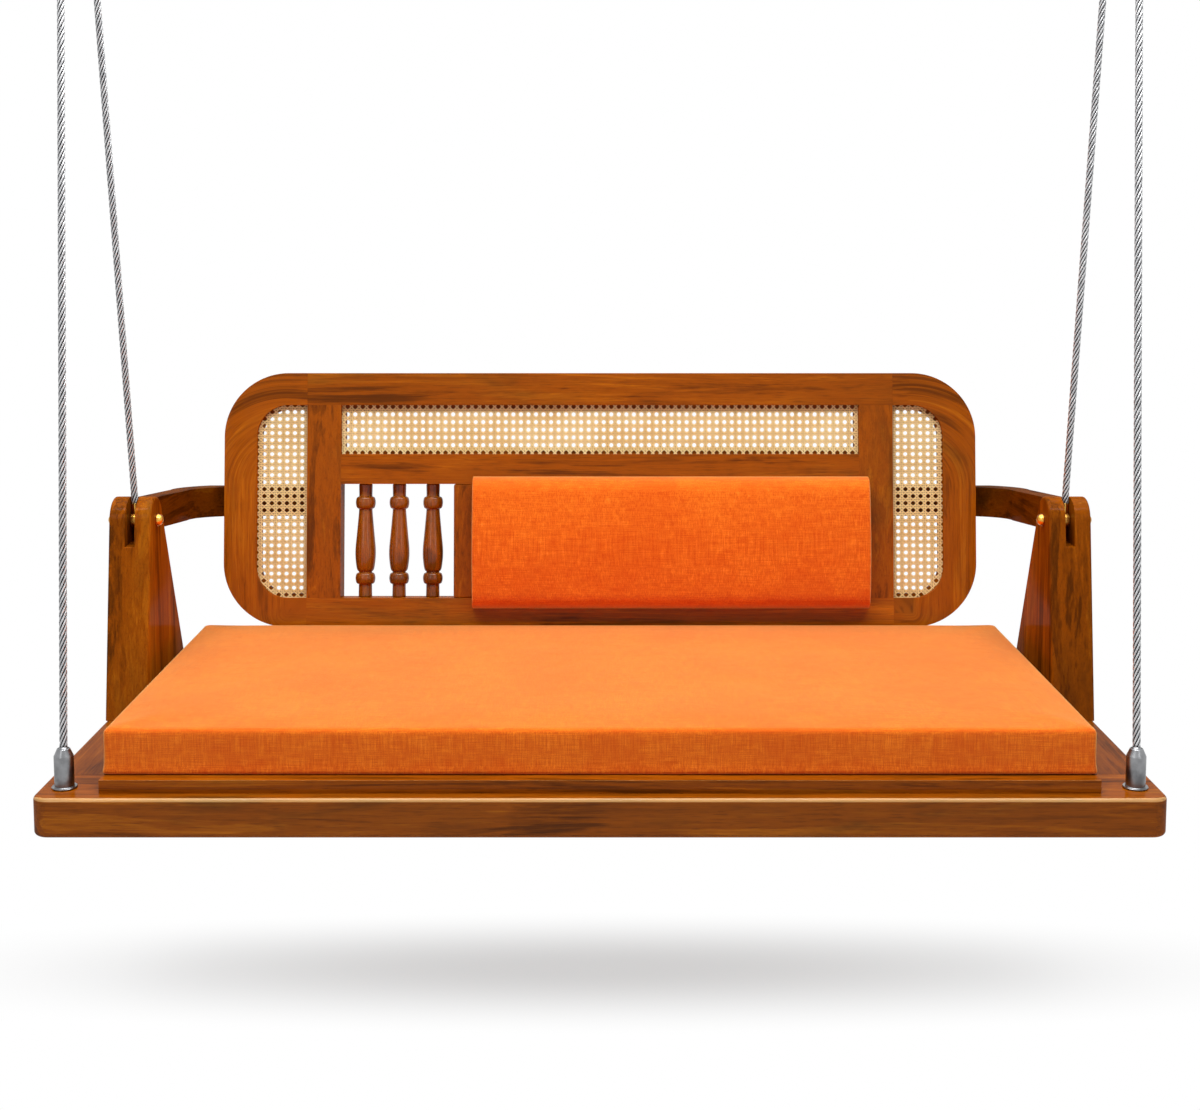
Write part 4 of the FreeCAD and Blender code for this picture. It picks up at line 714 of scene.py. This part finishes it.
def filled(name, bm, cap, is_pinned, edge_round, finish, pressure=4.0):
    bag = new_piece(name, bm, finish)
    rest = [vertex.co.copy() for vertex in bag.data.vertices]
    held = bag.vertex_groups.new(name="held")
    held.add([number for number, place in enumerate(rest) if is_pinned(place)], 1.0, "REPLACE")
    cloth = bag.modifiers.new("cloth", "CLOTH")
    settings = cloth.settings
    settings.use_pressure = True
    settings.uniform_pressure_force = pressure
    settings.effector_weights.gravity = 0.0
    settings.vertex_group_mass = held.name
    settings.quality = 5
    settings.tension_stiffness = settings.compression_stiffness = 30.0
    settings.shear_stiffness = 15.0
    settings.bending_stiffness = 2.0
    cloth.point_cache.frame_start, cloth.point_cache.frame_end = 1, 20
    for step in range(1, 21):
        scene.frame_set(step)
    blown = bpy.data.meshes.new_from_object(bag.evaluated_get(bpy.context.evaluated_depsgraph_get()))
    bag.modifiers.clear()
    bag.vertex_groups.clear()
    bag.data = blown
    scene.frame_set(1)
    for vertex, place in zip(blown.vertices, rest):
        moved = vertex.co - place
        vertex.co = place + moved * min(1.0, cap / max(moved.length, cap * 0.01))
    bm = bmesh.new()
    bm.from_mesh(bag.data)
    seams = [edge for edge in bm.edges if edge.calc_face_angle(0.0) > math.radians(45.0)]
    how = {"segments": 2, "profile": 0.5, "affect": "EDGES", "material": -1, "clamp_overlap": True}
    bmesh.ops.bevel(bm, geom=seams, offset=edge_round, offset_type="OFFSET", **how)
    for face in bm.faces:
        face.smooth = True
    bm.to_mesh(bag.data)
    bm.free()
    fine = bag.modifiers.new("fine", "SUBSURF")
    fine.levels = fine.render_levels = 1
    return bag


print("bags are cut as boxes and filled")

# %% Fill the seat cushion
seat_low, seat_high = (Vector(corner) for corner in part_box("seat_cushion"))
bag = soft_box(seat_low + Vector((-0.003, 0, 0.0002)), seat_high + Vector((0.003, 0, -0.001)), 0.0135)
lies = seat_low.z + 0.003
seat_cushion = filled("seat_cushion_linen", bag, 0.004, lambda place: place.z < lies, 0.006, orange_linen)
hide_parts("seat_cushion")
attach(seat_cushion, "seat")
print("seat cushion", len(seat_cushion.data.polygons), "cells")

# %% Fill the back pad
pad_low, pad_high = Vector((-0.2142, 0.0314, 0.0006)), Vector((0.4525, 0.2539, 0.0285))
pad_crown = 0.014
bag = soft_box(pad_low, pad_high, 0.0095, ((0, 0.024, True), (1, 0.009, True)))
for vertex in bag.verts:
    up, forward = ((vertex.co[i] - pad_low[i]) / (pad_high[i] - pad_low[i]) for i in (1, 2))
    vertex.co.z += pad_crown * forward * (1 - (2 * up - 1) ** 2)
bmesh.ops.transform(bag, matrix=on_back, verts=bag.verts)
from_back = on_back.inverted()
back_pad = filled("back_pad_linen", bag, 0.004, lambda place: (from_back @ place).z < 0.004, 0.003, pad_linen)
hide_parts("back_pad")
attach(back_pad, "seat")
print("back pad", len(back_pad.data.polygons), "cells")

# %% [markdown]
# ## Metal fittings and hidden woods
# The fittings keep their CAD shape, which is right as it is, and get a finish, apart from the rope terminals, which
# are turned again on the lathe. Satin steel has fine marks from polishing, brass is warmer and smoother, and the
# bolts are plain.


# %% Mix the metals and the plain woods
def metal(name, dull, bright, rough, marks):
    material, shader, place = new_finish(name)
    polish = noise(stretched(place, marks), 1.0, 3.0, 0.6)
    cloud = noise(place, 35.0, 3.0, 0.5)
    feed(shader["Base Color"], blend(cloud.over(0.3, 0.7), dull, bright))
    feed(shader["Metallic"], 1.0)
    feed(shader["Roughness"], polish * 0.14 + cloud * 0.06 + rough)
    feed(shader["Normal"], bumped(polish, 0.06, 0.0002))
    return material


def plain_wood(name, light, dark, along):
    material, shader, place = new_finish(name)
    reach = {"x": (3.0, 160.0, 160.0), "z": (160.0, 160.0, 3.0)}[along]
    grain = noise(stretched(place, reach), 1.0, 6.0, 0.6, 0.5)
    feed(shader["Base Color"], blend(grain.over(0.35, 0.65), dark, light))
    feed(shader["Roughness"], grain * 0.2 + 0.5)
    feed(shader["Normal"], bumped(grain, 0.15, 0.0005))
    return material


satin_steel = metal("satin_steel", srgb(100, 101, 103), srgb(152, 153, 155), 0.2, (500.0, 500.0, 30.0))
bolt_steel = metal("bolt_steel", srgb(120, 121, 122), srgb(170, 171, 172), 0.3, (300.0, 300.0, 300.0))
brass = metal("brass", srgb(196, 140, 52), srgb(240, 188, 92), 0.12, (400.0, 400.0, 60.0))
bearer_wood = plain_wood("bearer_wood", srgb(168, 112, 62), srgb(128, 78, 38), "x")
dowel_wood = plain_wood("dowel_wood", srgb(214, 180, 132), srgb(186, 148, 100), "x")
plywood = plain_wood("plywood", srgb(206, 170, 122), srgb(180, 140, 94), "x")
print("metals: satin steel, bolt steel, brass")

# %% Turn the rope terminals
terminal_profile = (
    (0.0, -50.0), (8.0, -50.0), (8.0, 0.2), (16.2, 0.2), (16.8, 0.8), (16.9, 2.0), (16.3, 2.8), (15.4, 2.6),
    (13.6, 2.5), (13.0, 3.0), (13.0, 43.6), (12.8, 44.4), (12.4, 45.1), (8.6, 53.7), (8.1, 54.2), (7.1, 54.2),
    (7.1, 53.4), (7.8, 51.0), (7.9, 50.0), (5.6, 44.4), (0.0, 42.1),
)
for side, sign in (("left", -1), ("right", 1)):
    at = Vector((rope_lines["front"][0][0] * sign, rope_lines["front"][0][1], deck))
    points = [(radius * 0.001, high * 0.001) for radius, high in terminal_profile]
    terminal = new_piece(f"turned_terminal_{side}", lathe(points, (0, 0, 1), 48, Matrix.Translation(at)), satin_steel)
    terminal.data.set_sharp_from_angle(angle=math.radians(20.0))
    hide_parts(f"terminal_{side}", *(("terminal_flanges",) if side == "left" else ()))
    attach(terminal, "seat")
    print(terminal.name, len(terminal.data.polygons), "faces")

# %% Dress the fittings
dress = {
    satin_steel: (
        "ceiling_bracket_front_left",
        "ceiling_bracket_front_right", "ceiling_bracket_rear_left", "ceiling_bracket_rear_right",
        "hanger_pins", "hanger_nuts", "front_rope_balls", "front_rope_eyes", "rear_rope_eyes",
    ),
    bolt_steel: ("board_screws", "terminal_washers", "terminal_nuts", "foot_bolts", "post_bolts", "arm_screws"),
    brass: ("hanger_bolts", "hanger_cap_nuts", "rear_rope_thimbles"),
    bearer_wood: ("base_bearers",),
    dowel_wood: ("arm_dowels", "frame_dowels"),
    plywood: ("back_pad_board",),
}
for finish, names in dress.items():
    for name in names:
        solid = nodes[name]
        if not solid.material_slots:
            solid.data.materials.append(None)
        for slot in solid.material_slots:
            slot.material = finish
    print(finish.name, "on", len(names), "solids")

# %% [markdown]
# ## Floor, world and light
# The swing hangs a little above a white floor in a white room, and its soft shadow lies below it. A white room
# could be lit until it clips, but that would bleach the wood as well. The lamps stay at a plain level, and the
# white is what the camera and mirrors see of the world and of the floor, which keeps part of its shadow. In an oval
# below the swing less of that white is added, so that the floor is darker there even where no shadow falls: a
# painted shadow under the real one.


# %% Lay the floor
def floor_finish():
    material, shader, place = new_finish("pale_floor")
    tree = material.node_tree
    feed(shader["Base Color"], srgb(208, 208, 208))
    feed(shader["Roughness"], 0.9)
    # The oval below the swing, where less white is added: a painted shadow.
    oval = stretched(place, (0.6, 3.6, 0.0))
    far = oval.node("ShaderNodeVectorMath", {"operation": "LENGTH"}, {0: oval}, "Value")
    white = place.node("ShaderNodeEmission", None, {"Color": (1.0, 1.0, 1.0, 1.0), "Strength": 1.0})
    path = place.node("ShaderNodeLightPath")
    seen = Out(path.socket.node.outputs["Is Camera Ray"]) + Out(path.socket.node.outputs["Is Glossy Ray"])
    seen = seen + Out(path.socket.node.outputs["Is Transmission Ray"])
    share = (far.over(0.05, 0.8) * 0.40 + 0.60) * seen.math("MINIMUM", seen, 1.0)
    lit = Out(tree.nodes["Principled BSDF"].outputs[0])
    mixed = share.node("ShaderNodeMixShader", None, {0: share, 1: lit, 2: white})
    feed(tree.nodes["Material Output"].inputs["Surface"], mixed)
    return material


floor_level = deck - 0.39
bm = bmesh.new()
bmesh.ops.create_grid(bm, x_segments=1, y_segments=1, size=40.0, matrix=Matrix.Translation((0, 0, floor_level)))
floor = new_piece("floor", bm, floor_finish())
floor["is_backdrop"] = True
print("floor", round(deck - floor_level, 3), "m below the seat")

# %% Light the room
world = bpy.data.worlds.new("white room")
scene.world = world
world.use_nodes = True
room = world.node_tree
sky = Out(room.nodes["Background"].outputs[0])
feed(room.nodes["Background"].inputs["Color"], (1.0, 1.0, 1.0, 1.0))
feed(room.nodes["Background"].inputs["Strength"], 0.2)
bright = sky.node("ShaderNodeBackground", None, {"Color": (1.0, 1.0, 1.0, 1.0), "Strength": 1.0})
path = sky.node("ShaderNodeLightPath")
seen = Out(path.socket.node.outputs["Is Camera Ray"]) + Out(path.socket.node.outputs["Is Glossy Ray"])
seen = seen + Out(path.socket.node.outputs["Is Transmission Ray"])
mixed = sky.node("ShaderNodeMixShader", None, {0: seen.math("MINIMUM", seen, 1.0), 1: sky, 2: bright})
feed(room.nodes["World Output"].inputs["Surface"], mixed)


def lamp(name, place, aim, wide, tall, power):
    light = bpy.data.lights.new(name, "AREA")
    light.shape = "RECTANGLE"
    light.size, light.size_y, light.energy = wide, tall, power
    holder = bpy.data.objects.new(name, light)
    holder.location = place
    holder.rotation_euler = (Vector(aim) - Vector(place)).to_track_quat("-Z", "Y").to_euler()
    scene.collection.objects.link(holder)
    return holder


seat_middle = (0.0, 0.0, deck)
lamp("overhead", (0.0, 0.1, 1.7), (0.0, 0.1, 0.0), 4.2, 3.4, 124.0)
lamp("long box", (0.0, -0.95, 1.25), (0.0, 0.1, deck), 2.8, 0.36, 46.0)
lamp("front left", (-1.9, -3.2, 0.6), seat_middle, 0.5, 1.6, 9.0)
lamp("front right", (2.1, -3.2, 0.4), seat_middle, 0.5, 1.4, 6.0)
scene.view_settings.view_transform = "Standard"
print("four lamps and a white room")

# %% [markdown]
# ## Measure and finish
# The dressed swing has to stay the size of the CAD model, so its box is printed.

# %% Write the sizes and finish
low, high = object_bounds()
print("box", [round(b - a, 3) for a, b in zip(low, high)], "m")
